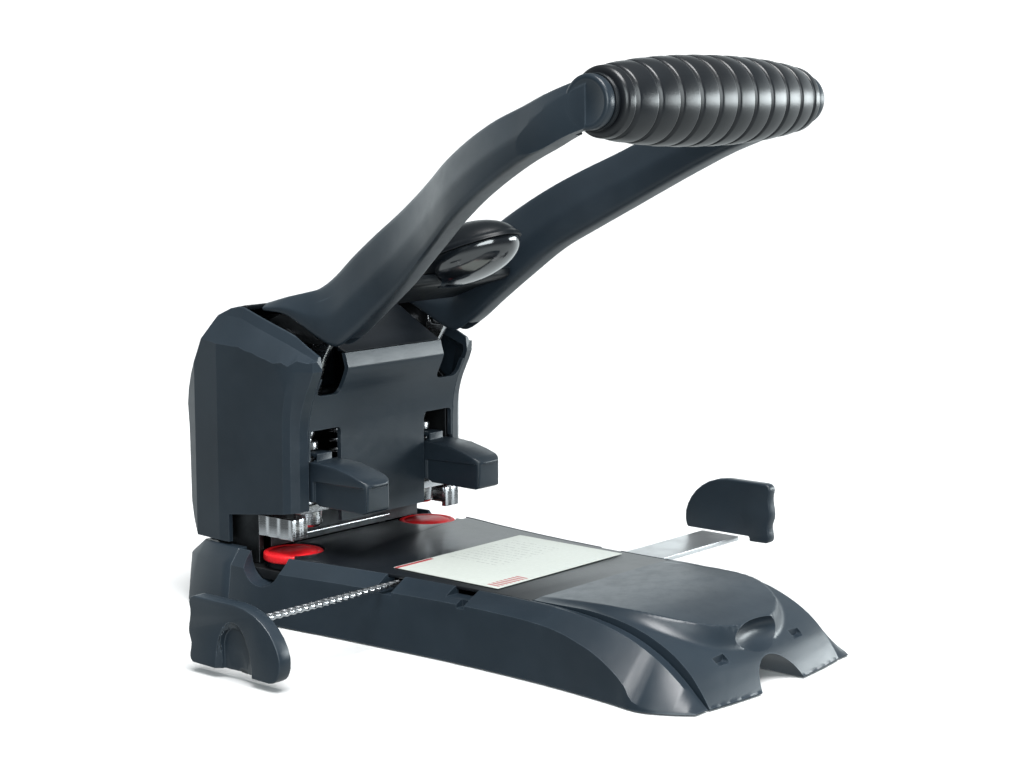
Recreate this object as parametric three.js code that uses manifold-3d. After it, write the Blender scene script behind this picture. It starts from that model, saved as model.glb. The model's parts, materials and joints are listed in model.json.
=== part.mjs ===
// Heavy-duty two-hole punch with a cranked double-arm handle, in millimetres.
// +Z is up and -Y is the front, where the drawer opens. X = 0 is the middle plane.
// The origin is on the standing surface, midway between the two punches.
import * as THREE from "three";
import { mergeVertices } from "three/addons/utils/BufferGeometryUtils.js";
import Module from "manifold-3d";

const wasm = await Module();
wasm.setup();

// ---------------------------------------------------------------- driving dimensions
const GAP = 0.35; // clearance kept between neighbouring pieces
const PUNCH_X = 40; // half of the 80 mm hole spacing
const PUNCH_R = 3; // 6 mm holes
const TIP_Z = 48.5; // cutting edge of a raised punch

const DECK_Z = 32; // paper table
const DECK_THICK = 1.5;
const DECK_FRONT = -151.2;
const DECK_REAR = 12.6;
const RIM_Z = 0.8; // lower edge of the housing walls
const WALL = 2.4; // moulded wall thickness
const SHELL_REAR = 23.6;
const BASE_REAR = 60;

const DISC_X = 48; // the discs sit outboard, so a turn brings a fresh spot under the punch
const DISC_Y = 2;
const DISC_R = 14.8;
const DISC_TOP = 31.4;

const HEAD_HALF = 62;
const BAND_HALF = 51.3; // half-width of the front, top and rear head covers
const SLOT_IN = 34; // the handle slots in the head, measured from the middle plane
const SLOT_OUT = 50.2;
const SLOT_BOTTOM = 109;
const SLOT_REAR = 29;
const WINDOW = { inner: 29.7, outer: 50.3, bottom: 77.7, top: 92 };
const FRONT_COVER_TOP = 129;
const TOP_COVER_REAR = 47;

const PIVOT = { y: 12, z: 134 };
const AXLE_R = 4;
const CRANK = { y: -14.4, z: 139.6, r: 3 };
const ARM_X = 42.5; // arm centre plane at the head
const ARM_HALF = 6.2;

// The grip: axis, half-lengths to the outside and the inside of the arm ends and of the sleeve.
const GRIP = { y: -203.5, z: 249.6, half: 80.5, inner: 75.6, sleeve: 72.2, core: 6, pitch: 13.1 };
const GRIP_R_MIDDLE = 19.5;
const GRIP_R_END = 14.4;
const BOSS_R = 11.3; // round end of each arm, seen at the tips of the grip

const ROD = { y: -74, z: 28.2, r: 2, x0: -141.6, x1: -22 };
const RIGHT_GUIDE = { y: -124.7, z: 51.2 }; // where the right blade's own axis lies
const BAR = { x0: 10, x1: 126.4, y0: -140.5, y1: -118, z0: 27.2, z1: 29.5 };
const TRAY_HALF = 50.4;
const TRAY_REAR = -151.8;
const DRAWER_TOP = 18.5;
const DRAWER_FLOOR = 4.8;

const BAY_HALF = 51.3; // drawer bay in the base
const BAY_FLOOR = 4.2;
const BAY_TOP = 18.9;
const MAT = { half: 52.6, top: 1.8 };
const CHASSIS = { z0: 19.3, z1: 24 }; // steel plate below the paper table
const FRAME_FOOT = CHASSIS.z1 + 0.3;
const GUIDE = { z0: 51, z1: 55, r: 7 }; // plate and bushes that guide the punches
const SPACER = { y: 38, z: 100, r: 3, half: 53.2 };
const SPRING = { x: 20, y: -1, z0: 55.4, z1: 92.1 };
const SCREW = { x: 34, y: 64.2, z: 60, r: 3.2, head: 1.6 };

// ---------------------------------------------------------------- solids and booleans
function solid(geometry) {
  const bare = geometry.clone();
  bare.deleteAttribute("normal");
  bare.deleteAttribute("uv");
  const merged = mergeVertices(bare, 1e-4);
  return new wasm.Manifold(
    new wasm.Mesh({
      numProp: 3,
      vertProperties: new Float32Array(merged.attributes.position.array),
      triVerts: new Uint32Array(merged.index.array),
    }),
  );
}

function geometryOf(manifold) {
  const mesh = manifold.getMesh();
  const geometry = new THREE.BufferGeometry();
  const positions = new Float32Array(mesh.vertProperties);
  geometry.setAttribute("position", new THREE.BufferAttribute(positions, 3));
  geometry.setIndex(new THREE.BufferAttribute(new Uint32Array(mesh.triVerts), 1));
  geometry.computeVertexNormals();
  return geometry;
}

function box(x0, x1, y0, y1, z0, z1) {
  const geometry = new THREE.BoxGeometry(x1 - x0, y1 - y0, z1 - z0);
  geometry.translate((x0 + x1) / 2, (y0 + y1) / 2, (z0 + z1) / 2);
  return solid(geometry);
}

function shapeOf(points) {
  return new THREE.Shape(points.map(([u, v]) => new THREE.Vector2(u, v)));
}

const PLANES = {
  // an outline drawn in (Y, Z) and pushed along X
  x: new THREE.Matrix4().makeBasis(
    new THREE.Vector3(0, 1, 0),
    new THREE.Vector3(0, 0, 1),
    new THREE.Vector3(1, 0, 0),
  ),
  // an outline drawn in (X, Z) and pushed along -Y, then moved
  y: new THREE.Matrix4().makeBasis(
    new THREE.Vector3(1, 0, 0),
    new THREE.Vector3(0, 0, 1),
    new THREE.Vector3(0, -1, 0),
  ),
  // an outline drawn in (X, Y) and pushed along Z
  z: new THREE.Matrix4(),
};

// Pushes an outline along an axis, from coordinate a to coordinate b.
function prism(axis, outline, a, b, curveSegments = 10) {
  const shape = outline instanceof THREE.Shape ? outline : shapeOf(outline);
  const options = { depth: b - a, bevelEnabled: false, curveSegments };
  const geometry = new THREE.ExtrudeGeometry(shape, options);
  geometry.applyMatrix4(PLANES[axis]);
  if (axis === "x") geometry.translate(a, 0, 0);
  if (axis === "y") geometry.translate(0, b, 0);
  if (axis === "z") geometry.translate(0, 0, a);
  return solid(geometry);
}

// A cylinder along one axis, from a to b, about the two other coordinates.
function rod(axis, c0, c1, r, a, b, segments = 24) {
  const geometry = new THREE.CylinderGeometry(r, r, b - a, segments);
  const middle = (a + b) / 2;
  if (axis === "x") geometry.rotateZ(Math.PI / 2).translate(middle, c0, c1);
  if (axis === "y") geometry.translate(c0, middle, c1);
  if (axis === "z") geometry.rotateX(Math.PI / 2).translate(c0, c1, middle);
  return solid(geometry);
}

// A turned piece about the vertical line through (x, y); the profile holds [radius, z] pairs.
function turned(profile, x, y, segments = 24) {
  const geometry = new THREE.LatheGeometry(
    profile.map(([r, z]) => new THREE.Vector2(r, z)),
    segments,
  );
  geometry.rotateX(Math.PI / 2);
  geometry.translate(x, y, 0);
  return solid(geometry);
}

// A turned piece about the grip axis; the profile holds [radius, x] pairs.
function turnedAlongX(profile, y, z, segments) {
  const geometry = new THREE.LatheGeometry(
    profile.map(([r, x]) => new THREE.Vector2(r, x)),
    segments,
  );
  geometry.rotateZ(-Math.PI / 2);
  geometry.translate(0, y, z);
  return solid(geometry);
}

// Joins rings of equal length into one closed skin with flat ends.
function loft(rings) {
  const count = rings[0].length;
  const points = rings.flat();
  const index = [];
  for (let r = 0; r + 1 < rings.length; r++) {
    for (let i = 0; i < count; i++) {
      const a = r * count + i;
      const b = r * count + ((i + 1) % count);
      index.push(a, b, b + count, a, b + count, a + count);
    }
  }
  const middle = new THREE.Vector3();
  rings[0].forEach((p) => middle.addScaledVector(p, 1 / count));
  const u = rings[0][0].clone().sub(middle).normalize();
  const normal = new THREE.Vector3();
  for (let i = 0; i < count; i++) {
    const a = rings[0][i].clone().sub(middle);
    normal.add(a.cross(rings[0][(i + 1) % count].clone().sub(middle)));
  }
  normal.normalize();
  const v = normal.clone().cross(u);
  const flat = (ring) =>
    ring.map((p) => {
      const q = p.clone().sub(middle);
      return new THREE.Vector2(q.dot(u), q.dot(v));
    });
  const last = (rings.length - 1) * count;
  for (const [a, b, c] of THREE.ShapeUtils.triangulateShape(flat(rings[0]), [])) {
    index.push(c, b, a);
  }
  for (const [a, b, c] of THREE.ShapeUtils.triangulateShape(flat(rings.at(-1)), [])) {
    index.push(last + a, last + b, last + c);
  }
  const geometry = new THREE.BufferGeometry().setFromPoints(points);
  geometry.setIndex(index);
  const made = solid(geometry);
  if (made.volume() > 0) return made;
  // the rings ran the other way round, so every face is turned over
  for (let i = 0; i < index.length; i += 3) {
    [index[i + 1], index[i + 2]] = [index[i + 2], index[i + 1]];
  }
  geometry.setIndex(index);
  return solid(geometry);
}

// Moves each side of an outline inwards by d (counter-clockwise outlines).
function inset(outline, d) {
  const clockwise = THREE.ShapeUtils.isClockWise(outline.map(([u, v]) => new THREE.Vector2(u, v)));
  const points = clockwise ? [...outline].reverse() : outline;
  const n = points.length;
  return points.map((p, i) => {
    const before = points[(i + n - 1) % n];
    const after = points[(i + 1) % n];
    const a = [p[0] - before[0], p[1] - before[1]];
    const b = [after[0] - p[0], after[1] - p[1]];
    const na = Math.hypot(...a);
    const nb = Math.hypot(...b);
    const ma = [-a[1] / na, a[0] / na];
    const mb = [-b[1] / nb, b[0] / nb];
    const k = d / (1 + ma[0] * mb[0] + ma[1] * mb[1]);
    return [p[0] + k * (ma[0] + mb[0]), p[1] + k * (ma[1] + mb[1])];
  });
}

// Straight-line interpolation in a short list of [key, value] pairs with falling or rising keys.
function along(table, key) {
  const rows = table[0][0] < table.at(-1)[0] ? table : [...table].reverse();
  if (key <= rows[0][0]) return rows[0][1];
  for (let i = 1; i < rows.length; i++) {
    if (key <= rows[i][0]) {
      const t = (key - rows[i - 1][0]) / (rows[i][0] - rows[i - 1][0]);
      return rows[i - 1][1] + t * (rows[i][1] - rows[i - 1][1]);
    }
  }
  return rows.at(-1)[1];
}

// The same list read off a smooth curve through its points.
function smooth(table) {
  const curve = new THREE.SplineCurve(table.map(([k, v]) => new THREE.Vector2(k, v)));
  return curve.getPoints(60).map((p) => [p.x, p.y]);
}

// ---------------------------------------------------------------- the nodes
const part = new THREE.Group();
const finish = {
  black: new THREE.MeshStandardMaterial({ color: 0x252a30, roughness: 0.55 }),
  slate: new THREE.MeshStandardMaterial({ color: 0x39424a, roughness: 0.5 }),
  gloss: new THREE.MeshStandardMaterial({ color: 0x1d2126, roughness: 0.2 }),
  rubber: new THREE.MeshStandardMaterial({ color: 0x15181b, roughness: 0.8 }),
  steel: new THREE.MeshStandardMaterial({ color: 0xc3c8cc, roughness: 0.3, metalness: 1 }),
  darkSteel: new THREE.MeshStandardMaterial({ color: 0x2b2e31, roughness: 0.5, metalness: 0.6 }),
  aluminium: new THREE.MeshStandardMaterial({ color: 0xd9dcde, roughness: 0.35, metalness: 1 }),
  red: new THREE.MeshStandardMaterial({ color: 0xc8202a, roughness: 0.45 }),
  paper: new THREE.MeshStandardMaterial({ color: 0xeef2ea, roughness: 0.9 }),
};

function add(name, manifold, material, parent = part) {
  const mesh = new THREE.Mesh(geometryOf(manifold), material);
  mesh.name = name;
  parent.add(mesh);
  return mesh;
}

const SIDES = [
  ["left", -1],
  ["right", 1],
];

// A piece that is drawn on the right-hand side is turned over to the left-hand one.
function onSide(side, manifold) {
  return side < 0 ? manifold.mirror([1, 0, 0]) : manifold;
}

// ---------------------------------------------------------------- housing outline
// Half-widths and heights of the base along Y: foot, top of the side wall, edge of the table.
const FOOT = smooth([[60, 66], [40, 70.5], [8, 73.5], [-20, 72], [-45, 69.6], [-75, 67.6], [-110, 65.4],
  [-150, 65], [-180, 66.2], [-208, 69], [-224, 71], [-236, 66.5], [-246, 59.6]]);
const WALL_TOP = smooth([[60, 63], [40, 67.5], [8, 70.5], [-20, 69], [-45, 66.8], [-75, 65], [-110, 63],
  [-150, 62.8], [-180, 64.4], [-208, 67.6], [-224, 70.4], [-236, 65.9], [-246, 59.2]]);
const WALL_TOP_Z = smooth([[60, 24.4], [0, 25], [-50, 26], [-110, 26.8], [-150, 26.6], [-166, 26],
  [-177, 24.8], [-187, 22.6], [-198, 19.4], [-209, 14.2], [-217, 9], [-223, 3.6], [-246, 1.4]]);
const TABLE = smooth([[60, 58], [40, 62.5], [8, 64.5], [-14, 64], [-35, 60.5], [-60, 57.2], [-90, 54.4],
  [-131, 52.6], [-165, 53.4], [-195, 55], [-225, 55.8], [-246, 55]]);
// Height of the nose: flat paper table, then a rounded fall to the front edge.
const NOSE_Z = smooth([[-140, 32], [-160, 31.9], [-174, 31.4], [-190, 29.8], [-204, 27], [-215, 23.2],
  [-226, 17.6], [-235, 11], [-241, 5.6], [-246, 1.3]]);

function noseHeight(y) {
  return y > -140 ? DECK_Z : along(NOSE_Z, y);
}

function baseRing(y, shrink = 0) {
  const foot = along(FOOT, y) - shrink;
  const wall = along(WALL_TOP, y) - shrink;
  const top = noseHeight(y) - shrink;
  const wallZ = Math.min(along(WALL_TOP_Z, y) - shrink * 0.6, top - 0.15);
  const table = Math.min(along(TABLE, y) - shrink * 0.5, wall - 0.2);
  const half = [[foot, RIM_Z], [wall, wallZ], [table, top]];
  const ring = [...half, ...half.map(([x, z]) => [-x, z]).reverse()];
  return ring.map(([x, z]) => new THREE.Vector3(x, y, z));
}

function stations(from, to, count) {
  return Array.from({ length: count + 1 }, (_, i) => from + ((to - from) * i) / count);
}

// ---------------------------------------------------------------- base
function baseShell() {
  const lengths = [...stations(SHELL_REAR, -160, 14), ...stations(-170, -246, 15)];
  let shell = loft(lengths.map((y) => baseRing(y)));
  // drawer bay, open at the front, over a floor that stops short of the nose
  shell = shell.subtract(box(-BAY_HALF, BAY_HALF, -260, 17, BAY_FLOOR, BAY_TOP));
  shell = shell.subtract(box(-BAY_HALF, BAY_HALF, -260, -136, BAY_FLOOR, 40));
  shell = shell.subtract(box(-BAY_HALF, BAY_HALF, -260, -198, -1, 10));
  // bay for the chassis plate, the discs and the guide rods below the table
  shell = shell.subtract(box(-63.2, 63.2, -15.4, 30, BAY_TOP, 40));
  shell = shell.subtract(box(-BAY_HALF, BAY_HALF, -140, 30, BAY_TOP - 0.3, 40));
  // hollow side rails and a hollow for the mat
  for (const [, side] of SIDES) {
    const rail = [[54.2, 14], [67.8, 14], [66.6, -20], [64.2, -50], [61.6, -110], [61.4, -160],
      [63, -196], [54.2, -196]];
    shell = shell.subtract(onSide(side, prism("z", rail, -1, 17.5)));
  }
  shell = shell.subtract(box(-53, 53, -192.4, 22, -1, 2.1));
  // seat for the paper table
  shell = shell.subtract(deckPrism(0.5, DECK_Z - DECK_THICK - GAP, 40, DECK_FRONT - 0.4, 30));
  // thumb scoops beside the discs
  for (const [, side] of SIDES) {
    const scoop = rod("x", DISC_Y, 31, 13.4, 55.5, 80, 28);
    shell = shell.subtract(onSide(side, scoop));
  }
  // where the left rod leaves the housing, and the two notches further forward
  shell = shell.subtract(box(-80, -50, ROD.y - 5.2, ROD.y + 5.2, 25.2, 40));
  for (const [, side] of SIDES) {
    shell = shell.subtract(onSide(side, box(50, 60.4, -122, -108.5, 28.4, 40)));
    shell = shell.subtract(onSide(side, box(58.5, 72, -122, -117.5, 25.2, 40)));
  }
  shell = shell.subtract(box(48, 80, BAR.y0 - 0.7, BAR.y1 + 0.7, BAR.z0 - 0.6, BAR.z1 + 0.6));
  return shell;
}

function deckPrism(shrink, z0, z1, front, rear) {
  const ys = stations(rear, front, 14);
  const right = ys.map((y) => [along(TABLE, y) - 1.2 + shrink, y]);
  const left = right.map(([x, y]) => [-x, y]).reverse();
  return prism("z", [...right, ...left], z0, z1);
}

function deckCover() {
  let deck = deckPrism(0, DECK_Z - DECK_THICK, DECK_Z, DECK_FRONT, DECK_REAR);
  for (const [, side] of SIDES) {
    deck = deck.subtract(rod("z", side * DISC_X, DISC_Y, DISC_R + 0.4, 20, 40, 36));
    deck = deck.subtract(onSide(side, box(58.4, 80, -13, DECK_REAR + 1, 20, 40)));
  }
  return deck;
}

function rearBaseCover() {
  let cover = loft(stations(SHELL_REAR + GAP, BASE_REAR, 5).map((y) => baseRing(y)));
  // the top rear edge is cut back at a slant
  const slant = [[52, 33], [61, 24.4], [62, 40], [52, 40]];
  cover = cover.subtract(prism("x", slant, -90, 90));
  let hollow = loft(stations(10, BASE_REAR - WALL, 5).map((y) => baseRing(y, WALL)));
  hollow = hollow.intersect(box(-80, 80, 0, 80, 4.2, 40));
  hollow = hollow.subtract(prism("x", [[49.5, 32.5], [61, 21], [62, 40], [49.5, 40]], -90, 90));
  cover = cover.subtract(hollow);
  cover = cover.subtract(box(-53, 53, 26, 56, -1, 2.1));
  return cover.subtract(box(-58.2, 58.2, 20, 50.6, 22, 40));
}

// ---------------------------------------------------------------- drawer
const TRAY_BOW = 4.2; // how far the front edge bows out at the middle
const TRAY_FRONT = -246;
// Side profile of the drawer's nose, and of the hump on top of it.
const TRAY_Z = smooth([[-140, 32], [-165, 32.3], [-180, 32.6], [-190, 32], [-199.5, 30.8], [-210, 28.4],
  [-220.6, 24.4], [-229, 19.8], [-236, 14.2], [-241, 8.4], [-244.6, 3.4], [-246, 1.2]]);
const HUMP_Z = smooth([[-151, 32.5], [-172, 33.8], [-190, 34.4], [-206, 33.8], [-219, 31.6], [-229, 29],
  [-237, 26.4], [-250, 20]]);
const HUMP = { half: 44, start: -186, end: -237, flank: 6.4 };

function humpHalf(y) {
  if (y > HUMP.start) return HUMP.half;
  const t = (HUMP.start - y) / (HUMP.start - HUMP.end);
  return t < 1 ? HUMP.half * (1 - t ** 2.5) ** 0.5 : -HUMP.flank;
}

function trayTop(x, y, drop) {
  const lead = Math.max(0, Math.min(1, (-150 - y) / 90));
  const low = along(TRAY_Z, y + TRAY_BOW * lead * (1 - (x / 54) ** 2));
  const t = Math.max(0, Math.min(1, (humpHalf(y) + HUMP.flank - Math.abs(x)) / HUMP.flank));
  return low + Math.max(0, along(HUMP_Z, y) - low) * t ** 2 - drop;
}

// The front of the drawer as a height field: a rounded nose with the hump on top.
function trayNose(half, drop, rear, front) {
  const inner = stations(-0.86, 0.86, 14).map((t) => t * half);
  const xs = [-half, -0.93 * half, ...inner, 0.93 * half, half];
  const ys = [...stations(rear, -186, 3), ...stations(-195, -228, 5), ...stations(-231.5, front, 6)];
  const rings = ys.map((y) => {
    const top = xs.map((x) => new THREE.Vector3(x, y, Math.max(trayTop(x, y, drop), RIM_Z + 0.05)));
    const foot = xs.map((x) => new THREE.Vector3(x, y, RIM_Z - 1)).reverse();
    return [...top, ...foot];
  });
  return loft(rings);
}

// Plan of the drawer's front edge, which bows out in the middle.
function trayPlan(z0, z1) {
  const edge = stations(-54, 54, 12).map((x) => [x, TRAY_FRONT - TRAY_BOW * (1 - (x / 54) ** 2)]);
  return prism("z", [...edge, [54, 20], [-54, 20]], z0, z1);
}

// The finger recess under the hump, made larger by d.
function fingerBowl(d) {
  const bowl = new THREE.SphereGeometry(1, 24, 14);
  bowl.scale(22 + d, 17 + d, 12.5 + d);
  bowl.translate(0, -249.5, 24.5);
  return solid(bowl);
}

function chipTray() {
  let tray = trayNose(TRAY_HALF, 0, TRAY_REAR, -251);
  tray = tray.intersect(box(-60, 60, -260, -150, RIM_Z, 50)).intersect(trayPlan(-5, 60));
  tray = tray.subtract(fingerBowl(0));
  // hollow nose, closed at the back only above the drawer
  let hollow = trayNose(TRAY_HALF - WALL, WALL + 0.6, -150, -242);
  hollow = hollow.intersect(box(-60, 60, -242, -150, -1, 50));
  hollow = hollow.subtract(box(-60, 60, -154, -149, DRAWER_TOP, 50));
  tray = tray.subtract(hollow.subtract(fingerBowl(WALL + 0.2)));
  // finger arch and two small recesses in the front
  tray = tray.subtract(rod("y", 0, -3.8, 16.8, -260, -226, 32));
  for (const [, side] of SIDES) {
    tray = tray.subtract(onSide(side, box(25, 33, -260, -235.2, 14.4, 17.6)));
  }
  // the drawer itself
  const inside = TRAY_HALF - 1.8;
  let drawer = box(-TRAY_HALF, TRAY_HALF, -206, 12, DRAWER_FLOOR, DRAWER_TOP);
  drawer = drawer.subtract(box(-inside, inside, -203.6, 10.2, DRAWER_FLOOR + 1.8, 30));
  tray = tray.subtract(box(-60, 60, -198.6, 0, -1, DRAWER_FLOOR));
  const frontWall = box(-TRAY_HALF + 1, TRAY_HALF - 1, -206, -203.6, 5.5, 25.5);
  return tray.add(drawer).add(frontWall);
}

// ---------------------------------------------------------------- head covers
// Side outline of the head, drawn in (Y, Z), from the lower front round to the lower rear.
const HEAD_FRONT = [[-13, 45], [-13, 92], [-14.4, 101], [-17.4, 109.5], [-20.8, 116.8], [-23.2, 121.8]];
const HEAD_TOP = [[-22.2, 128.8], [-13, 133.4], [-4, 138.4], [5, 143.8], [13, 147.6], [22, 149.6],
  [31, 149.8], [39, 148], [46.5, 144.2]];
const HEAD_REAR = [[51.6, 133.4], [57.6, 121.6], [61.8, 114], [64.8, 106], [66, 99], [64.6, 87],
  [63.6, 50], [61.6, 42], [57.6, 33.2]];
const HEAD_OUTLINE = [[-13, 20], ...HEAD_FRONT, ...HEAD_TOP, ...HEAD_REAR, [56.5, 20]];

// How far forward the front face leans at a height, as [Z, Y].
const HEAD_LEAN = smooth([[20, -13], [60, -13], [88, -13], [97, -13.7], [103, -15], [109.5, -17.3],
  [116, -20.6], [121.8, -23], [127, -23.2]]).map(([z, y]) => [z, Math.min(y, -13)]);

// Solid body of the right-hand side cover, made smaller by d.
function sideBody(d) {
  const levels = [20, 88, 94, 98, 102, 106, 109.5, 113, 116.8, 121.8, 130, 152];
  const rings = levels.map((z) => {
    const lean = along(HEAD_LEAN, z);
    const front = lean + d;
    const corner = -9.4 + d + (lean + 13) * 0.45;
    const wall = HEAD_HALF - d;
    const plan = [[40, front], [BAND_HALF + GAP, front], [56.6 - d, front + 1.1], [wall - 1.8, corner],
      [wall, corner + 3.6], [wall, 40], [wall - 1.4, 58], [wall - 4.6, 68 - d], [40, 68 - d]];
    return plan.map(([x, y]) => new THREE.Vector3(x, y, z));
  });
  const outline = d > 0 ? inset(HEAD_OUTLINE, d) : HEAD_OUTLINE;
  let body = loft(rings).intersect(prism("x", outline, 30, 80));
  // slanted shoulder between the side wall and the top
  const shoulder = stations(-30, 70, 10).map((y) => {
    const low = along([[-10, 124.4], [0, 125], [18, 129.4], [34, 131.4], [70, 131]], y) - d;
    const high = along([[-24, 126], [-2, 133.6], [15, 138.6], [31, 144], [70, 146]], y) - d;
    const slope = (high - low) / 8;
    const wall = HEAD_HALF - d;
    const ring = [[wall + 6, low - 6 * slope], [wall - 8, high], [wall - 12, high + 9],
      [wall - 12, 190], [HEAD_HALF + 6, 190]];
    return ring.map(([x, z]) => new THREE.Vector3(x, y, z));
  });
  return body.subtract(loft(shoulder));
}

function headSideCover() {
  let cover = sideBody(0);
  cover = cover.subtract(sideBody(WALL));
  cover = cover.subtract(box(30, BAND_HALF + GAP, -40, 80, 0, 200));
  // lower edge: rises towards the front, and reaches the base at the rear
  const below = [[-40, 55.5], [-13, 53.4], [33, 47.4], [33, 33.6], [80, 33.6], [80, 0], [-40, 0]];
  return cover.subtract(prism("x", below, 30, 80));
}

function headBand() {
  const outer = prism("x", HEAD_OUTLINE, -BAND_HALF, BAND_HALF);
  return outer.subtract(prism("x", inset(HEAD_OUTLINE, WALL), -80, 80));
}

function handleSlots() {
  const profile = [[-40, SLOT_BOTTOM], [0, SLOT_BOTTOM], [SLOT_REAR, 130], [SLOT_REAR, 160], [-40, 160]];
  const corner = box(SLOT_OUT - 1, BAND_HALF + 2, -40, SLOT_REAR, 118, 160);
  const right = prism("x", profile, SLOT_IN, SLOT_OUT).add(corner);
  return right.add(onSide(-1, right));
}

function headFrontCover() {
  const { inner, outer, bottom, top } = WINDOW;
  let cover = headBand().intersect(box(-60, 60, -40, -5, 45.5, FRONT_COVER_TOP));
  cover = cover.subtract(handleSlots());
  for (const [, side] of SIDES) {
    cover = cover.subtract(onSide(side, box(inner, outer, -30, 0, bottom - 1, top)));
    cover = cover.subtract(onSide(side, box(inner, 60, -30, 0, 40, bottom)));
  }
  return cover;
}

function headTopCover() {
  const cover = headBand().intersect(box(-60, 60, -40, TOP_COVER_REAR, FRONT_COVER_TOP + GAP, 160));
  return cover.subtract(handleSlots()).subtract(box(-60, 60, -15, 60, 120, 132));
}

function headRearCover() {
  let cover = headBand().intersect(box(-60, 60, TOP_COVER_REAR + GAP, 80, 34.2, 160));
  for (const [, side] of SIDES) {
    cover = cover.subtract(rod("y", side * SCREW.x, SCREW.z, 2, 50, 70, 16));
  }
  return cover.subtract(box(-60, 60, 40, 54, 20, 38));
}

// ---------------------------------------------------------------- frame inside the head
function chassisPlate() {
  return box(-62.8, 62.8, -15, 49, CHASSIS.z0, CHASSIS.z1);
}

function innerFramePlate() {
  const outline = [[18, FRAME_FOOT], [49.6, FRAME_FOOT], [50, 116], [42, 136], [34, 143.6], [22, 144.6],
    [12, 143.4], [3.6, 139], [2.6, 130], [8, 119.5], [14.6, 112], [14.6, 56], [18, 50]];
  let plate = prism("x", outline, 28.6, 32.6);
  plate = plate.subtract(rod("x", PIVOT.y, PIVOT.z, AXLE_R + GAP, 20, 40, 24));
  return plate.subtract(rod("x", SPACER.y, SPACER.z, SPACER.r + GAP, 20, 40, 16));
}

function outerFramePlate() {
  const outline = [[17, FRAME_FOOT], [46, FRAME_FOOT], [50, 60], [52, 96], [48, 116], [8, 116],
    [-6, 106], [-6.6, 55], [10, 53.6], [17, 50]];
  const plate = prism("x", outline, 53.6, 56.8);
  return plate.subtract(rod("x", SPACER.y, SPACER.z, SPACER.r + GAP, 40, 70, 16));
}

function guidePlate() {
  let plate = box(-53.2, 53.2, -9, 10, GUIDE.z0, GUIDE.z1);
  for (const [, side] of SIDES) {
    plate = plate.subtract(rod("z", side * PUNCH_X, 0, GUIDE.r + GAP, 40, 70, 24));
  }
  return plate;
}

function guideBush(x) {
  const bore = PUNCH_R + GAP;
  const foot = GUIDE.z0 - 8;
  const head = GUIDE.z1 + 1.4;
  const profile = [[bore, foot], [GUIDE.r - 1, foot], [GUIDE.r, foot + 1.2], [GUIDE.r, head], [bore, head],
    [bore, foot]];
  return turned(profile, x, 0, 20);
}

function punch(x) {
  const profile = [[0, TIP_Z + 1.6], [1.9, TIP_Z + 1.2], [PUNCH_R, TIP_Z], [PUNCH_R, 74], [5.4, 74.4],
    [5.4, 78], [3.6, 78.2], [3.6, 80.8], [5.4, 81], [5.4, 84.4], [2.6, 85.4], [2.6, 86]];
  // domed head that the press beam bears on
  for (const degrees of stations(-48, 90, 3)) {
    const t = THREE.MathUtils.degToRad(degrees);
    profile.push([Math.max(0, 3.8 * Math.cos(t)), 88.6 + 3.4 * Math.sin(t)]);
  }
  return turned(profile, x, 0, 16);
}

function pressYoke() {
  const outline = new THREE.Shape();
  outline.moveTo(-1.6, 104);
  outline.lineTo(-4, 124);
  outline.lineTo(-7.6, 137);
  outline.absarc(CRANK.y, CRANK.z, 6.4, -0.35, Math.PI + 0.5, false);
  outline.lineTo(-13.6, 126.4);
  outline.lineTo(-9.4, 116);
  outline.lineTo(-9.2, 104);
  const plate = prism("x", outline, 38.2, 41.4, 12);
  const eye = new THREE.Shape();
  eye.absarc(CRANK.y + 2.2, CRANK.z, CRANK.r + 0.4, -Math.PI / 2, Math.PI / 2, false);
  eye.absarc(CRANK.y - 1, CRANK.z, CRANK.r + 0.4, Math.PI / 2, (3 * Math.PI) / 2, false);
  return plate.subtract(prism("x", eye, 30, 45, 8));
}

// ---------------------------------------------------------------- handle
// Lower and upper edge of an arm as [Y, Z], and the middle of its thickness as X.
const ARM = [
  { low: [20, 147.6], high: [21.5, 151.4], x: ARM_X },
  { low: [6, 146.6], high: [8.5, 155], x: ARM_X },
  { low: [-6, 141.6], high: [-3, 157.6], x: ARM_X },
  { low: [-17, 136.4], high: [-13.5, 160.4], x: ARM_X },
  { low: [-27, 133.6], high: [-23.5, 166.4], x: ARM_X },
  { low: [-39, 140], high: [-36, 176.8], x: ARM_X },
  { low: [-52, 150], high: [-50, 187.2], x: ARM_X + 0.2 },
  { low: [-71, 164.6], high: [-66, 197.6], x: 44 },
  { low: [-87.5, 177.8], high: [-82, 207.4], x: 47.8 },
  { low: [-101, 186.6], high: [-96, 215.4], x: 53.4 },
  { low: [-118, 197.4], high: [-112, 224], x: 61 },
  { low: [-135, 207.6], high: [-130, 233.4], x: 66.6 },
  { low: [-152, 217], high: [-148, 241.6], x: 70.4 },
  { low: [-168, 225], high: [-165, 247.6], x: 73 },
  { low: [-182, 230.8], high: [-180, 253.2], x: 75.2 },
  { low: [-193, 235.8], high: [-192, 257], x: 76.2 },
  { low: [-203, 239.2], high: [-203, 260], x: 76.6 },
];
// Cross-section of an arm: offset from its middle plane, and height from lower to upper edge.
const ARM_SECTION = [[0.55, 0], [0.94, 0.05], [1, 0.12], [1, 0.42], [0.84, 0.55], [0.34, 0.95], [0, 1],
  [-0.34, 0.95], [-0.84, 0.55], [-1, 0.42], [-1, 0.12], [-0.94, 0.05], [-0.55, 0]];

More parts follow.
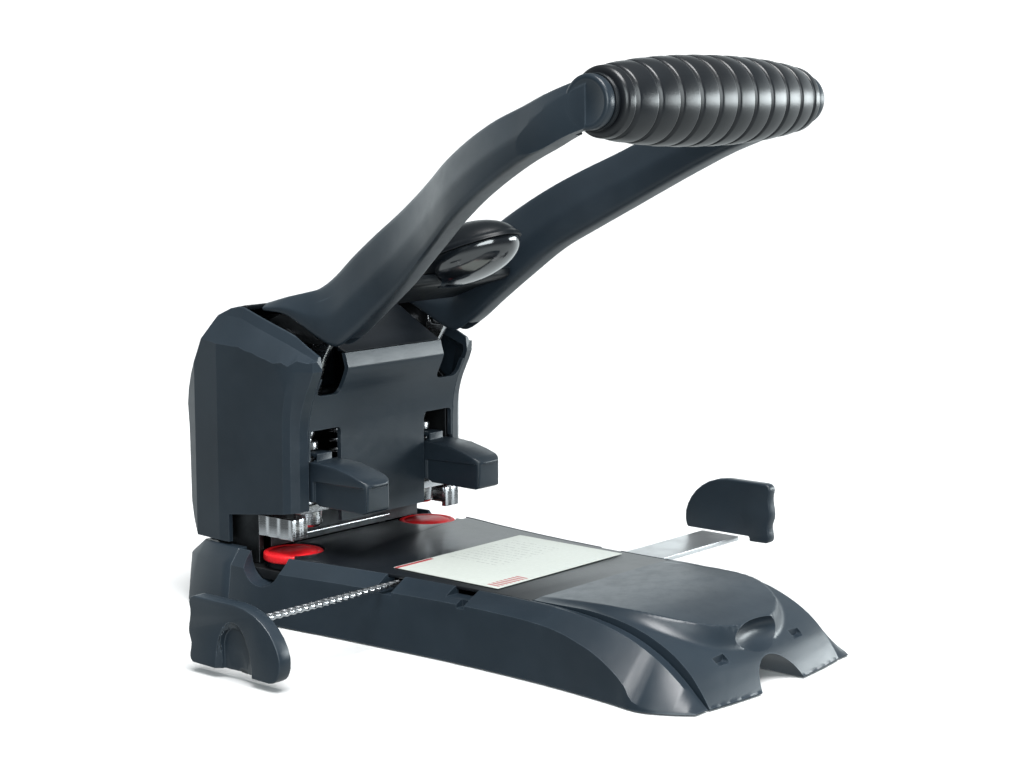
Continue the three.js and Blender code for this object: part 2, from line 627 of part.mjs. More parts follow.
function armRings(count) {
  const edge = (which) => {
    const points = ARM.map((s) => new THREE.Vector3(s.x, ...s[which]));
    return new THREE.CatmullRomCurve3(points, false, "centripetal");
  };
  const low = edge("low");
  const high = edge("high");
  return stations(0, 1, count).map((t) => {
    const a = low.getPoint(t);
    const b = high.getPoint(t);
    const half = ARM_HALF + 1.2 * Math.min(1, Math.max(0, (-a.y - 60) / 60));
    return ARM_SECTION.map(([w, h]) => {
      const p = a.clone().lerp(b, h);
      return new THREE.Vector3(p.x + w * half, p.y, p.z);
    });
  });
}

function gripRadius(x) {
  const t = Math.abs(x) / GRIP.sleeve;
  return GRIP_R_MIDDLE - (GRIP_R_MIDDLE - GRIP_R_END) * t ** 2.3;
}

// Half profile of the ribbed sleeve as [radius, X], from end to end and back along its bore.
function sleeveProfile() {
  const end = GRIP.sleeve;
  const bore = GRIP.core + GAP;
  const tip = gripRadius(end);
  const profile = [[bore, -end], [tip - 2, -end], [tip, 1.8 - end]];
  for (let k = -6; k <= 6; k++) {
    for (const [offset, depth] of [[-0.5, 0], [-0.11, 0], [0, 1.2], [0.11, 0]]) {
      const x = (k + offset) * GRIP.pitch;
      if (Math.abs(x) < end - 1.8) profile.push([gripRadius(x) - depth, x]);
    }
  }
  profile.push([tip, end - 1.8], [tip - 2, end], [bore, end], [bore, -end]);
  return profile;
}

function handleArm() {
  const { y, z, half, inner } = GRIP;
  const bore = GRIP.core + GAP;
  const boss = [[bore, inner], [BOSS_R - 0.6, inner], [BOSS_R, inner + 1], [BOSS_R, half - 1.1],
    [BOSS_R - 1.4, half], [0, half], [0, half - 1.5], [bore, half - 1.5], [bore, inner]];
  let arm = loft(armRings(24));
  arm = arm.subtract(rod("x", y, z, bore, 0, half - 1.5, 24));
  arm = arm.subtract(rod("x", y, z, GRIP_R_END + 2, 40, inner, 32));
  arm = arm.add(turnedAlongX(boss, y, z, 24)).subtract(box(half, 100, -260, -150, 200, 300));
  // pocket for the steel lever and the press yoke, open below
  const pocket = [[26, 100], [26, 147.5], [4, 150.5], [-14, 153.6], [-30, 159.5], [-36.6, 158], [-36.6, 100]];
  return arm.subtract(prism("x", pocket, 37.7, 46.2));
}

// Dark ring between the end of an arm and the ribbed sleeve.
function gripCollar() {
  const bore = GRIP.core + GAP;
  const from = GRIP.sleeve + GAP;
  const to = GRIP.inner - GAP;
  const ring = [[bore, from], [11.2, from], [11.8, from + 0.8], [11.8, to - 0.6], [11.2, to], [bore, to],
    [bore, from]];
  return turnedAlongX(ring, GRIP.y, GRIP.z, 24);
}

function leverPlate() {
  const outline = new THREE.Shape();
  outline.moveTo(-34.6, 156.4);
  outline.lineTo(-34.6, 147);
  outline.lineTo(-25, 137);
  outline.lineTo(-14, 133.4);
  outline.absarc(PIVOT.y, PIVOT.z, 11.6, Math.PI, 2 * Math.PI + 0.9, false);
  outline.lineTo(4, 149.2);
  outline.lineTo(-13.6, 152.4);
  outline.lineTo(-29.4, 157.6);
  let plate = prism("x", outline, 41.8, 45.6, 14);
  plate = plate.subtract(rod("x", PIVOT.y, PIVOT.z, AXLE_R + GAP, 30, 60, 24));
  return plate.subtract(rod("x", CRANK.y, CRANK.z, CRANK.r + 0.3, 30, 60, 20));
}

function crankPin() {
  return rod("x", CRANK.y, CRANK.z, CRANK.r, 38, 45.8, 20);
}

// Cross-section of the web that ties the two arms together, under the dome.
const WEB = [[-28, 150.8], [-46, 157.6], [-62, 162.4], [-65.5, 164.6], [-65.5, 168.4], [-58, 167.6],
  [-44, 162.6], [-28, 156]];

function handleWeb() {
  const half = ARM_X - ARM_HALF - GAP;
  return prism("x", WEB, -half, half).subtract(domeSolid(GAP));
}

// The dome between the arms: an egg lying along the handle, split into a bowl and a cap.
const DOME = { y: -68, z: 176.4, tilt: 0.35, long: 30.6, wide: 21, thick: 13.4, split: 0.6 };

function domeSolid(grow) {
  const egg = new THREE.SphereGeometry(1, 24, 14);
  egg.scale(DOME.wide + grow, DOME.long + grow, DOME.thick + grow);
  egg.rotateX(-DOME.tilt);
  egg.translate(0, DOME.y, DOME.z);
  return solid(egg);
}

// Everything above (or below) the tilted plane that splits the dome.
function domeHalf(above) {
  const thick = 60;
  const shift = (thick + GAP) / 2;
  const slab = new THREE.BoxGeometry(100, 120, thick);
  slab.translate(0, 0, DOME.split + (above ? shift : -shift));
  slab.rotateX(-DOME.tilt);
  slab.translate(0, DOME.y, DOME.z);
  return solid(slab);
}

function domeBase() {
  return domeSolid(0).intersect(domeHalf(false));
}

function domeCap() {
  return domeSolid(1.1).intersect(domeHalf(true));
}

// ---------------------------------------------------------------- release levers
function releaseLever() {
  const outline = [[-13.4, 57.2], [-16, 55.6], [-45.6, 55.4], [-47.6, 56.4], [-48, 58], [-48, 68.4],
    [-13.4, 68.4]];
  const cap = [[-10, 57.2], [-10, 76.6], [-18, 76.8], [-28, 76], [-38, 73.8], [-45, 71.6], [-49, 69.6],
    [-49, 68.2], [-13.4, 67.4], [-13.4, 57.2]];
  let lever = prism("x", outline, 32, 48).add(prism("x", cap, 30.7, 49.3));
  // rounded front corners
  const plan = new THREE.Shape();
  plan.moveTo(30.7, 0);
  plan.lineTo(30.7, -43);
  plan.quadraticCurveTo(31, -49, 37, -49);
  plan.lineTo(43, -49);
  plan.quadraticCurveTo(49, -49, 49.3, -43);
  plan.lineTo(49.3, 0);
  lever = lever.intersect(prism("z", plan, 50, 80, 6));
  // fork that grips the neck of the punch, open to the rear
  const stem = box(35, 45, -12.4, -9.6, 70, 80.4);
  const tines = box(35, 45, -10, 4, 78.6, 80.4);
  const neck = 3.95;
  const throat = box(PUNCH_X - neck, PUNCH_X + neck, 0, 10, 70, 90);
  const mouth = rod("z", PUNCH_X, 0, neck, 70, 90, 16).add(throat);
  return lever.add(stem).add(tines.subtract(mouth));
}

// ---------------------------------------------------------------- side guides
// A guide blade in (Y, Z) about its rod: a wavy grip end at +Y, a rounded end at -Y.
const BLADE_LENGTH = 57.6;

function bladeOutline(length) {
  const blade = new THREE.Shape();
  const k = length / BLADE_LENGTH;
  blade.moveTo(37 * k, 3);
  blade.bezierCurveTo(34.6 * k, -3, 39.6 * k, -8, 36.6 * k, -13);
  blade.bezierCurveTo(34.6 * k, -17, 39.6 * k, -21, 35.4 * k, -23.6);
  blade.lineTo(-13 * k, -24.4);
  blade.bezierCurveTo(-19 * k, -24, -20.6 * k, -19, -20 * k, -13);
  blade.bezierCurveTo(-18 * k, -4, -8 * k, 6, 8 * k, 6.6);
  blade.lineTo(33 * k, 6.6);
  blade.quadraticCurveTo(37 * k, 6.4, 37 * k, 3);
  return blade;
}

function rightBlade() {
  const blade = prism("x", bladeOutline(52), -132.8, -127.2, 7);
  return blade.subtract(box(-140, -120, -30, 21.4, -30, BAR.z1 + GAP - RIGHT_GUIDE.z));
}

function leftBlade() {
  const outer = -149;
  const blade = prism("x", bladeOutline(BLADE_LENGTH), outer, outer + 7, 7);
  // finger arch moulded into the outer face, open at the edge
  const arch = new THREE.Shape();
  arch.moveTo(18, -30);
  arch.lineTo(18, -12);
  arch.bezierCurveTo(17, -2, 2, -2, 1, -12);
  arch.lineTo(-3, -30);
  return blade.subtract(prism("x", arch, outer - 1, outer + 3.6, 8));
}

// Block inside the housing that grips a rod or a bar and slides with it.
function rodClamp() {
  const block = box(-50.4, -36, ROD.y - 6, ROD.y + 6, 25.4, 30.2);
  return block.subtract(rod("x", ROD.y, ROD.z, ROD.r + GAP, -60, -20, 20));
}

function barClamp() {
  const block = box(36, 50.4, BAR.y0 - 4, BAR.y1 + 4, 25.4, 30.2);
  return block.subtract(box(30, 60, BAR.y0 - GAP, BAR.y1 + GAP, BAR.z0 - GAP, BAR.z1 + 2));
}

// ---------------------------------------------------------------- small turned pieces
function returnSpring(x) {
  const { y, z0, z1 } = SPRING;
  return turned([[3, z0], [4.6, z0], [4.6, z1], [3, z1], [3, z0]], x, y, 16);
}

function discSeat(x) {
  const top = 27.2;
  return turned([[5, FRAME_FOOT], [13, FRAME_FOOT], [13, top], [5, top], [5, FRAME_FOOT]], x, DISC_Y, 20);
}

function cuttingDisc(x) {
  const rim = DISC_R - 0.6;
  const profile = [[0, 25.2], [4.4, 25.2], [4.4, 27.5], [rim, 27.5], [DISC_R, 28.1], [DISC_R, 30.9],
    [rim, DISC_TOP], [0, DISC_TOP]];
  return turned(profile, x, DISC_Y, 30);
}

function crossScrew(r, head) {
  const profile = [[0, -6], [r * 0.5, -6], [r * 0.5, 0], [r, 0], [r, head * 0.6], [r * 0.7, head], [0, head]];
  const body = turned(profile, 0, 0, 18);
  const slot = box(-r * 0.6, r * 0.6, -0.45, 0.45, head * 0.35, head + 1);
  return body.subtract(slot).subtract(slot.rotate([0, 0, 90]));
}

// ---------------------------------------------------------------- build the part
add("base_shell", baseShell(), finish.slate);
add("rear_base_cover", rearBaseCover(), finish.slate);
add("base_mat", box(-MAT.half, MAT.half, -192, 21.6, 0, MAT.top), finish.rubber);
add("rear_foot", box(-MAT.half, MAT.half, 26.4, 55.6, 0, MAT.top), finish.rubber);
add("deck_cover", deckCover(), finish.gloss);
add("label_sheet", box(-46, 46, -127.5, -63.2, DECK_Z + 0.3, DECK_Z + 0.6), finish.paper);
add("chassis_plate", chassisPlate(), finish.darkSteel);
add("frame_back_plate", box(-53.2, 53.2, 50.4, 52.6, 40, 96), finish.darkSteel);
add("guide_plate", guidePlate(), finish.steel);
add("back_stop", box(-52.4, 52.4, 13, 14.2, DECK_Z + GAP, 55.4), finish.darkSteel);
add("spacer_rod", rod("x", SPACER.y, SPACER.z, SPACER.r, -SPACER.half, SPACER.half, 16), finish.darkSteel);
add("pivot_axle", rod("x", PIVOT.y, PIVOT.z, AXLE_R, -47.4, 47.4, 24), finish.steel);
add("head_cover_front", headFrontCover(), finish.slate);
add("head_cover_top", headTopCover(), finish.black);
add("head_cover_rear", headRearCover(), finish.slate);
add("rod_clamp", rodClamp(), finish.black);
add("bar_clamp", barClamp(), finish.black);

for (const [name, side] of SIDES) {
  add("head_cover_" + name, onSide(side, headSideCover()), finish.slate);
  add("frame_plate_inner_" + name, onSide(side, innerFramePlate()), finish.darkSteel);
  add("frame_plate_outer_" + name, onSide(side, outerFramePlate()), finish.darkSteel);
  add("guide_bush_" + name, guideBush(side * PUNCH_X), finish.steel);
  add("disc_seat_" + name, discSeat(side * DISC_X), finish.black);
  add("cutting_disc_" + name, cuttingDisc(side * DISC_X), finish.red);
  add("release_lever_" + name, onSide(side, releaseLever()), finish.slate);
  add("punch_" + name, punch(side * PUNCH_X), finish.steel);
  add("press_yoke_" + name, onSide(side, pressYoke()), finish.steel);
  add("return_spring_" + name, returnSpring(side * SPRING.x), finish.steel);
  add("handle_arm_" + name, onSide(side, handleArm()), finish.slate);
  add("lever_plate_" + name, onSide(side, leverPlate()), finish.darkSteel);
  add("crank_pin_" + name, onSide(side, crankPin()), finish.steel);
  add("axle_clip_" + name, onSide(side, rod("x", PIVOT.y, PIVOT.z, 6, 47.7, 49.2, 20)), finish.steel);
  add("grip_collar_" + name, onSide(side, gripCollar()), finish.black);
  const screw = add("head_screw_" + name, crossScrew(SCREW.r, SCREW.head), finish.steel);
  screw.rotation.x = -Math.PI / 2;
  screw.position.set(side * SCREW.x, SCREW.y, SCREW.z);
}

add("press_beam", box(-46, 46, -9.4, 5, 92.5, 103.6), finish.steel);
add("handle_web", handleWeb(), finish.black);
add("dome_base", domeBase(), finish.gloss);
add("dome_cap", domeCap(), finish.black);
add("grip_core", rod("x", GRIP.y, GRIP.z, GRIP.core, -78.6, 78.6, 24), finish.steel);
add("grip_sleeve", turnedAlongX(sleeveProfile(), GRIP.y, GRIP.z, 24), finish.rubber);
add("chip_tray", chipTray(), finish.slate);

// left side guide: hangs below its rod
const leftGuide = new THREE.Group();
leftGuide.position.set(0, ROD.y, ROD.z);
part.add(leftGuide);
add("guide_rod_left", rod("x", 0, 0, ROD.r, ROD.x0, ROD.x1, 16), finish.steel, leftGuide);
add("guide_blade_left", leftBlade(), finish.slate, leftGuide);

// right side guide: a shorter blade, turned half round, that stands on a flat bar
const rightGuide = new THREE.Group();
rightGuide.position.set(0, RIGHT_GUIDE.y, RIGHT_GUIDE.z);
rightGuide.rotation.z = Math.PI;
part.add(rightGuide);
add("guide_blade_right", rightBlade(), finish.slate, rightGuide);
add("guide_bar_right", box(BAR.x0, BAR.x1, BAR.y0, BAR.y1, BAR.z0, BAR.z1), finish.aluminium);

export default part;
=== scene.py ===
"""Heavy-duty two-hole punch with a cranked handle: fine surfaces and finishes over the CAD frame."""
import json
import math

import bmesh
import bpy
from mathutils import Matrix, Vector


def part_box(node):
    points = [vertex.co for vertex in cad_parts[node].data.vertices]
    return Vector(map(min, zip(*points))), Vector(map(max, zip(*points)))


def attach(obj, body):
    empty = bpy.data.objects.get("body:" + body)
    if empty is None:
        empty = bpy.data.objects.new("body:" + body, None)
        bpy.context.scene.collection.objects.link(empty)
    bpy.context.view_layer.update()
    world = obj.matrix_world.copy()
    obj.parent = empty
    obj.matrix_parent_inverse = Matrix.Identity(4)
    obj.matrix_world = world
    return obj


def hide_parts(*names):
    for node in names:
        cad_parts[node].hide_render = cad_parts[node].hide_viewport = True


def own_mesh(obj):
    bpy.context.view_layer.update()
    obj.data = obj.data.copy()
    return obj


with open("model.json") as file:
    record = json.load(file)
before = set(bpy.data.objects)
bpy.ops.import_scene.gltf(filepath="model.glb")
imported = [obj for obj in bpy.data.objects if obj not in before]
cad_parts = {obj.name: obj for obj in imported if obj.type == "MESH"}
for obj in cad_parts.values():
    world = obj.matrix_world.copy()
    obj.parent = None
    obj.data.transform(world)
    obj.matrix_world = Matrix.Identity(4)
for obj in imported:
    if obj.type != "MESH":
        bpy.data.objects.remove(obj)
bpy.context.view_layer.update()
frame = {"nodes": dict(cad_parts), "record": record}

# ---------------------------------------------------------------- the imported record
RECORD = frame["record"]
BODY_OF = {node: body for body, nodes in RECORD["behaviour"]["bodies"].items() for node in nodes}
SLOT_OF = {row["node"]: row["material_slot"] for row in RECORD["subparts"]}

# ---------------------------------------------------------------- driving dimensions, in millimetres
MM = 0.001
GAP = 0.35  # clearance between neighbouring pieces
SIDES = (("left", -1), ("right", 1))

ARM_X = 42.5
ARM_HALF = 6.2
GRIP_Y, GRIP_Z = -203.5, 249.6
GRIP_HALF = 80.5
GRIP_INNER = 75.6
GRIP_SLEEVE = 72.2
GRIP_CORE = 6.0
GRIP_PITCH = 13.1
GRIP_R_MIDDLE = 19.5
GRIP_R_END = 14.4
BOSS_R = 11.3

DOME = {"y": -68.0, "z": 176.4, "tilt": 0.35, "long": 30.6, "wide": 21.0, "thick": 13.4, "split": 0.6}

TRAY_HALF = 50.4
TRAY_BOW = 4.2
TRAY_BOW_HALF = 54
TRAY_FRONT = -246.0
TRAY_REAR = -151.8
WALL = 2.4
RIM_Z = 0.8
DRAWER_TOP = 18.5
HUMP_HALF = 44.0
HUMP_START, HUMP_END = -186.0, -237.0
HUMP_FLANK = 6.4

HEAD_HALF = 51.3
HEAD_FACE_Y = -13
COVER_FACET_ANGLE = 14  # the side covers' facets meet at shallow angles
BAY_HALF = 51.3
DECK_Z = 32.0
DECK_FRONT = -151.2
BAR_Y0, BAR_Y1, BAR_Z0, BAR_Z1 = -140.5, -118.0, 27.2, 29.5

ROD_Y, ROD_Z, ROD_R = -74.0, 28.2, 1.75
ROD_FLUTES, ROD_FLUTE_DEPTH, ROD_TWIST = 3, 0.22, 1.5  # the twist in radians per millimetre
PUNCH_X = 40.0
DISC_X, DISC_Y, DISC_R = 48.0, 2.0, 14.8
DISC_KNURLS, DISC_KNURL_DEPTH, DISC_RIM_FOOT = 45, 0.16, 27.5
SPRING_R, SPRING_WIRE, SPRING_TURNS = 3.8, 0.7, 9

# ---------------------------------------------------------------- light and camera: metres, watts, degrees
LIGHT_TINT = (0.90, 0.98, 1.0)
ROOM_STRENGTH = 1.4
BRIGHT_WALL = (0.763, 0.647, 0)  # a fixed direction, from the photo's camera past the object
SUN_STRENGTH, SUN_WIDTH, SUN_TURN = 4.6, 36, (16, -9, 0)
SOFTBOXES = {  # place, target, size and power
    "softbox_right": ((1.05, -0.85, 0.30), (0, -0.1, 0.15), (0.9, 0.32), 10),
    "softbox_near": ((-0.95, -1.05, 0.50), (0, 0, 0.12), (0.9, 0.7), 13),
}
FLOOR_HALF = 40
CAMERA_PLACE, CAMERA_TURN = (-0.7362, -0.7208, 0.2570), (81.766, 0, -49.719)
CAMERA_LENS, CAMERA_SENSOR = 73.09, 36


# ---------------------------------------------------------------- curves
def stations(start, stop, count):
    """Numbers from start to stop, both included, in count equal steps."""
    return [start + (stop - start) * i / count for i in range(count + 1)]


def circle(count):
    """The angles of one turn in count equal steps."""
    return stations(0, 2 * math.pi, count)[:-1]


def uniform_spline(points, t):
    """A point of the uniform Catmull-Rom curve through 2-D points, for t from 0 to 1."""
    last = len(points) - 1
    i = min(int(t * last), last)
    w = t * last - i
    p0 = points[max(i - 1, 0)]
    p1 = points[i]
    p2 = points[min(i + 1, last)]
    p3 = points[min(i + 2, last)]
    out = []
    for a, b, c, d in zip(p0, p1, p2, p3):
        v0, v1 = (c - a) / 2, (d - b) / 2
        out.append(((2 * b - 2 * c + v0 + v1) * w + (-3 * b + 3 * c - 2 * v0 - v1)) * w * w + v0 * w + b)
    return out


def smooth(points):
    """The curve as a list of [key, value] rows with rising keys."""
    rows = [uniform_spline(points, t) for t in stations(0, 1, 240)]
    return rows if rows[0][0] < rows[-1][0] else rows[::-1]


def along(rows, key):
    """The value at a key, from rows with rising keys."""
    if key <= rows[0][0]:
        return rows[0][1]
    for (k0, v0), (k1, v1) in zip(rows, rows[1:]):
        if key <= k1:
            return v0 + (v1 - v0) * (key - k0) / (k1 - k0)
    return rows[-1][1]


def centripetal(points, t):
    """A point of the centripetal Catmull-Rom curve through 3-D points, for t from 0 to 1."""
    last = len(points) - 1
    i = min(int(t * last), last - 1)
    w = t * last - i
    p1, p2 = points[i], points[i + 1]
    p0 = points[i - 1] if i > 0 else 2 * points[0] - points[1]
    p3 = points[i + 2] if i + 2 <= last else 2 * points[last] - points[last - 1]
    d0, d1, d2 = (max((b - a).length, 1e-6) ** 0.5 for a, b in ((p0, p1), (p1, p2), (p2, p3)))
    m1 = ((p1 - p0) / d0 - (p2 - p0) / (d0 + d1) + (p2 - p1) / d1) * d1
    m2 = ((p2 - p1) / d1 - (p3 - p1) / (d1 + d2) + (p3 - p2) / d2) * d1
    return p1 + m1 * w + (3 * (p2 - p1) - 2 * m1 - m2) * w ** 2 + (2 * (p1 - p2) + m1 + m2) * w ** 3


# ---------------------------------------------------------------- meshes
def mesh_of(name, points, faces):
    """A mesh from points in millimetres, with its faces turned outwards."""
    mesh = bpy.data.meshes.new(name)
    mesh.from_pydata([Vector(p) * MM for p in points], [], faces)
    bm = bmesh.new()
    bm.from_mesh(mesh)
    bmesh.ops.remove_doubles(bm, verts=bm.verts, dist=1e-7)
    bmesh.ops.recalc_face_normals(bm, faces=bm.faces)
    bm.to_mesh(mesh)
    bm.free()
    return mesh


def make(name, mesh):
    """A mesh placed in the scene as an object."""
    obj = bpy.data.objects.new(name, mesh)
    bpy.context.scene.collection.objects.link(obj)
    return obj


def loft(name, rings):
    """A skin through closed rings of equal length, with flat ends."""
    n = len(rings[0])
    points = [p for ring in rings for p in ring]
    faces = [
        (r * n + i, r * n + (i + 1) % n, (r + 1) * n + (i + 1) % n, (r + 1) * n + i)
        for r in range(len(rings) - 1)
        for i in range(n)
    ]
    faces.append(tuple(range(n - 1, -1, -1)))
    faces.append(tuple((len(rings) - 1) * n + i for i in range(n)))
    return make(name, mesh_of(name, points, faces))


def torus_loft(name, rings):
    """A skin through closed rings whose last ring joins the first."""
    n, m = len(rings[0]), len(rings)
    points = [p for ring in rings for p in ring]
    faces = [
        (r * n + i, r * n + (i + 1) % n, ((r + 1) % m) * n + (i + 1) % n, ((r + 1) % m) * n + i)
        for r in range(m)
        for i in range(n)
    ]
    return make(name, mesh_of(name, points, faces))


def lathe(name, profile, axis, c0, c1, segments=72):
    """Turns a closed loop of [radius, height] pairs about a line along axis through (c0, c1)."""
    rings = []
    for a in circle(segments):
        u, v = math.cos(a), math.sin(a)
        if axis == "x":
            rings.append([(h, c0 + r * u, c1 + r * v) for r, h in profile])
        elif axis == "y":
            rings.append([(c0 + r * u, h, c1 + r * v) for r, h in profile])
        else:
            rings.append([(c0 + r * u, c1 + r * v, h) for r, h in profile])
    return torus_loft(name, rings)


def prism(name, outline, axis, a, b):
    """An outline pushed along an axis from a to b; the outline holds the two other coordinates in order."""
    def place(u, v, w):
        return {"x": (w, u, v), "y": (u, w, v), "z": (u, v, w)}[axis]
    return loft(name, [[place(u, v, w) for u, v in outline] for w in (a, b)])


def block(name, low, high):
    """A box between two corners."""
    outline = [(low[0], low[1]), (high[0], low[1]), (high[0], high[1]), (low[0], high[1])]
    return prism(name, outline, "z", low[2], high[2])


def ellipsoid(name, centre, radii, columns=64, rows=32):
    """A closed egg with a pole at each end of its z axis."""
    points = [(0, 0, -1)]
    for j in range(1, rows):
        p = math.pi * j / rows
        for a in circle(columns):
            points.append((math.sin(p) * math.cos(a), math.sin(p) * math.sin(a), -math.cos(p)))
    points.append((0, 0, 1))
    faces = [(0, 1 + (i + 1) % columns, 1 + i) for i in range(columns)]
    for j in range(rows - 2):
        for i in range(columns):
            a, b = 1 + j * columns + i, 1 + j * columns + (i + 1) % columns
            faces.append((a, b, b + columns, a + columns))
    top = len(points) - 1
    faces += [(top, top - columns + i, top - columns + (i + 1) % columns) for i in range(columns)]
    placed = [Vector(centre) + Vector([c * r for c, r in zip(p, radii)]) for p in points]
    return make(name, mesh_of(name, placed, faces))


def applied(obj, kind, **settings):
    """The mesh that obj has with one modifier applied."""
    modifier = obj.modifiers.new(kind, kind)
    for key, value in settings.items():
        setattr(modifier, key, value)
    graph = bpy.context.evaluated_depsgraph_get()
    mesh = bpy.data.meshes.new_from_object(obj.evaluated_get(graph))
    obj.modifiers.remove(modifier)
    return mesh


def cut(obj, cutter, operation="DIFFERENCE"):
    """Cuts obj with another closed mesh, or joins or keeps what they share, and throws the other away."""
    obj.data = applied(obj, "BOOLEAN", object=cutter, operation=operation, solver="EXACT")
    bpy.data.objects.remove(cutter)


def join(obj, other):
    """Adds the other object's faces to obj as one more shell."""
    bm = bmesh.new()
    bm.from_mesh(obj.data)
    bm.from_mesh(other.data)
    bm.to_mesh(obj.data)
    bm.free()
    bpy.data.objects.remove(other)


def mirror(obj):
    """Turns a piece of one side into its twin of the other side."""
    obj.data.transform(Matrix.Scale(-1, 4, Vector((1, 0, 0))))
    obj.data.flip_normals()


def measure(mesh):
    """A mesh's volume and the two corners of its box."""
    bm = bmesh.new()
    bm.from_mesh(mesh)
    volume = bm.calc_volume()
    points = [v.co.copy() for v in bm.verts]
    bm.free()
    low = [min(p[k] for p in points) for k in range(3)]
    high = [max(p[k] for p in points) for k in range(3)]
    return volume, low, high


def cleaned(mesh):
    """Merges the triangles of flat faces, and the points that nearly coincide."""
    bm = bmesh.new()
    bm.from_mesh(mesh)
    bmesh.ops.remove_doubles(bm, verts=bm.verts, dist=0.05 * MM)
    bmesh.ops.dissolve_limit(bm, angle_limit=math.radians(0.6), verts=bm.verts, edges=bm.edges)
    bm.to_mesh(mesh)
    bm.free()


def shade(obj, angle):
    """Shades a piece smooth, except over edges that turn by more than angle."""
    obj.data.shade_smooth()
    obj.data.set_sharp_from_angle(angle=math.radians(angle))


def bevelled(obj, width, angle, segments, harden):
    """Obj's mesh with its sharp edges rounded, or None where the shape leaves no room for that."""
    volume, low, high = measure(obj.data)
    mesh = applied(obj, "BEVEL", width=width * MM, segments=segments, limit_method="ANGLE",
                   angle_limit=math.radians(angle), use_clamp_overlap=False, harden_normals=harden,
                   miter_outer="MITER_ARC")
    new_volume, new_low, new_high = measure(mesh)
    slack = 0.01 * MM
    inside = all(a <= b + slack for a, b in zip(low, new_low)) and all(
        a >= b - slack for a, b in zip(high, new_high))
    least, most = 0.9 * volume, 1.002 * volume
    return mesh if inside and least < new_volume < most else None


def round_edges(obj, width, angle=34):
    """Rounds the sharp edges, by less where the shape leaves no room, and shades the rest smooth."""
    cleaned(obj.data)
    obj.data.shade_smooth()
    for share in (1, 0.6, 0.35):
        mesh = bevelled(obj, width * share, angle, 3, True)
        if mesh is not None:
            obj.data = mesh
            return
    shade(obj, angle)


def soften(obj, width, angle, segments=2):
    """Rounds the sharp edges of a finely sampled piece, which has no flat faces to clean."""
    obj.data.shade_smooth()
    mesh = bevelled(obj, width, angle, segments, False)
    if mesh is not None:
        obj.data = mesh
    shade(obj, angle)


def rounded_rectangle(x0, x1, z0, z1, r):
    """The outline of a rectangle with corners of radius r."""
    corners = ((x1 - r, z1 - r, 0), (x0 + r, z1 - r, 1), (x0 + r, z0 + r, 2), (x1 - r, z0 + r, 3))
    return [(cx + r * math.cos(a), cz + r * math.sin(a))
            for cx, cz, k in corners
            for a in stations(k * math.pi / 2, (k + 1) * math.pi / 2, 6)]


# ---------------------------------------------------------------- materials
class Nodes:
    """A short way to write a node tree."""

    def __init__(self, name):
        self.material = bpy.data.materials.new(name)
        self.material.use_nodes = True
        self.tree = self.material.node_tree
        self.shader = self.tree.nodes["Principled BSDF"]
        self.place = self.add("ShaderNodeTexCoord").outputs["Object"]

    def add(self, kind, **settings):
        """A new node with its settings."""
        node = self.tree.nodes.new(kind)
        for key, value in settings.items():
            setattr(node, key, value)
        return node

    def link(self, source, target):
        self.tree.links.new(source, target)

    def stretched(self, scale):
        """The place on the object, scaled by a different number along each axis."""
        node = self.add("ShaderNodeMapping")
        self.link(self.place, node.inputs["Vector"])
        node.inputs["Scale"].default_value = scale
        return node.outputs["Vector"]

    def noise(self, scale, detail, rough=0.5, where=None):
        """Soft noise, at scale cells per metre."""
        node = self.add("ShaderNodeTexNoise")
        self.link(where or self.place, node.inputs["Vector"])
        node.inputs["Scale"].default_value = scale
        node.inputs["Detail"].default_value = detail
        node.inputs["Roughness"].default_value = rough
        return node.outputs["Fac"]

    def spread(self, value, low, high, out_low=0.0, out_high=1.0):
        """The range from low to high turned into the range from out_low to out_high."""
        node = self.add("ShaderNodeMapRange")
        self.link(value, node.inputs["Value"])
        limits = {"From Min": low, "From Max": high, "To Min": out_low, "To Max": out_high}
        for key, number in limits.items():
            node.inputs[key].default_value = number
        return node.outputs["Result"]

    def math(self, operation, a, b=None):
        """One sum on sockets or numbers."""
        node = self.add("ShaderNodeMath", operation=operation)
        for socket, value in zip(node.inputs, (a, b)):
            if isinstance(value, (int, float)):
                socket.default_value = value
            elif value is not None:
                self.link(value, socket)
        return node.outputs["Value"]

    def mix(self, factor, a, b):
        """A blend of two colours, each a socket or a tuple."""
        node = self.add("ShaderNodeMix", data_type="RGBA")
        self.link(factor, node.inputs["Factor"])
        for socket, value in ((node.inputs[6], a), (node.inputs[7], b)):
            if isinstance(value, tuple):
                socket.default_value = (*value, 1)
            else:
                self.link(value, socket)
        return node.outputs[2]

    def edges(self, radius):
        """About 1 along the edges and 0 on the faces."""
        bevel = self.add("ShaderNodeBevel", samples=4)
        bevel.inputs["Radius"].default_value = radius * MM
        geometry = self.add("ShaderNodeNewGeometry")
        dot = self.add("ShaderNodeVectorMath", operation="DOT_PRODUCT")
        self.link(bevel.outputs["Normal"], dot.inputs[0])
        self.link(geometry.outputs["Normal"], dot.inputs[1])
        return self.spread(dot.outputs["Value"], 0.995, 0.90)

    def bump(self, height, strength, distance):
        """Fine relief, up to distance in millimetres."""
        node = self.add("ShaderNodeBump")
        node.inputs["Strength"].default_value = strength
        node.inputs["Distance"].default_value = distance * MM
        self.link(height, node.inputs["Height"])
        self.link(node.outputs["Normal"], self.shader.inputs["Normal"])

    def set(self, **values):
        """Plain numbers on the shader's own sockets."""
        for key, value in values.items():
            self.shader.inputs[key.replace("_", " ")].default_value = value


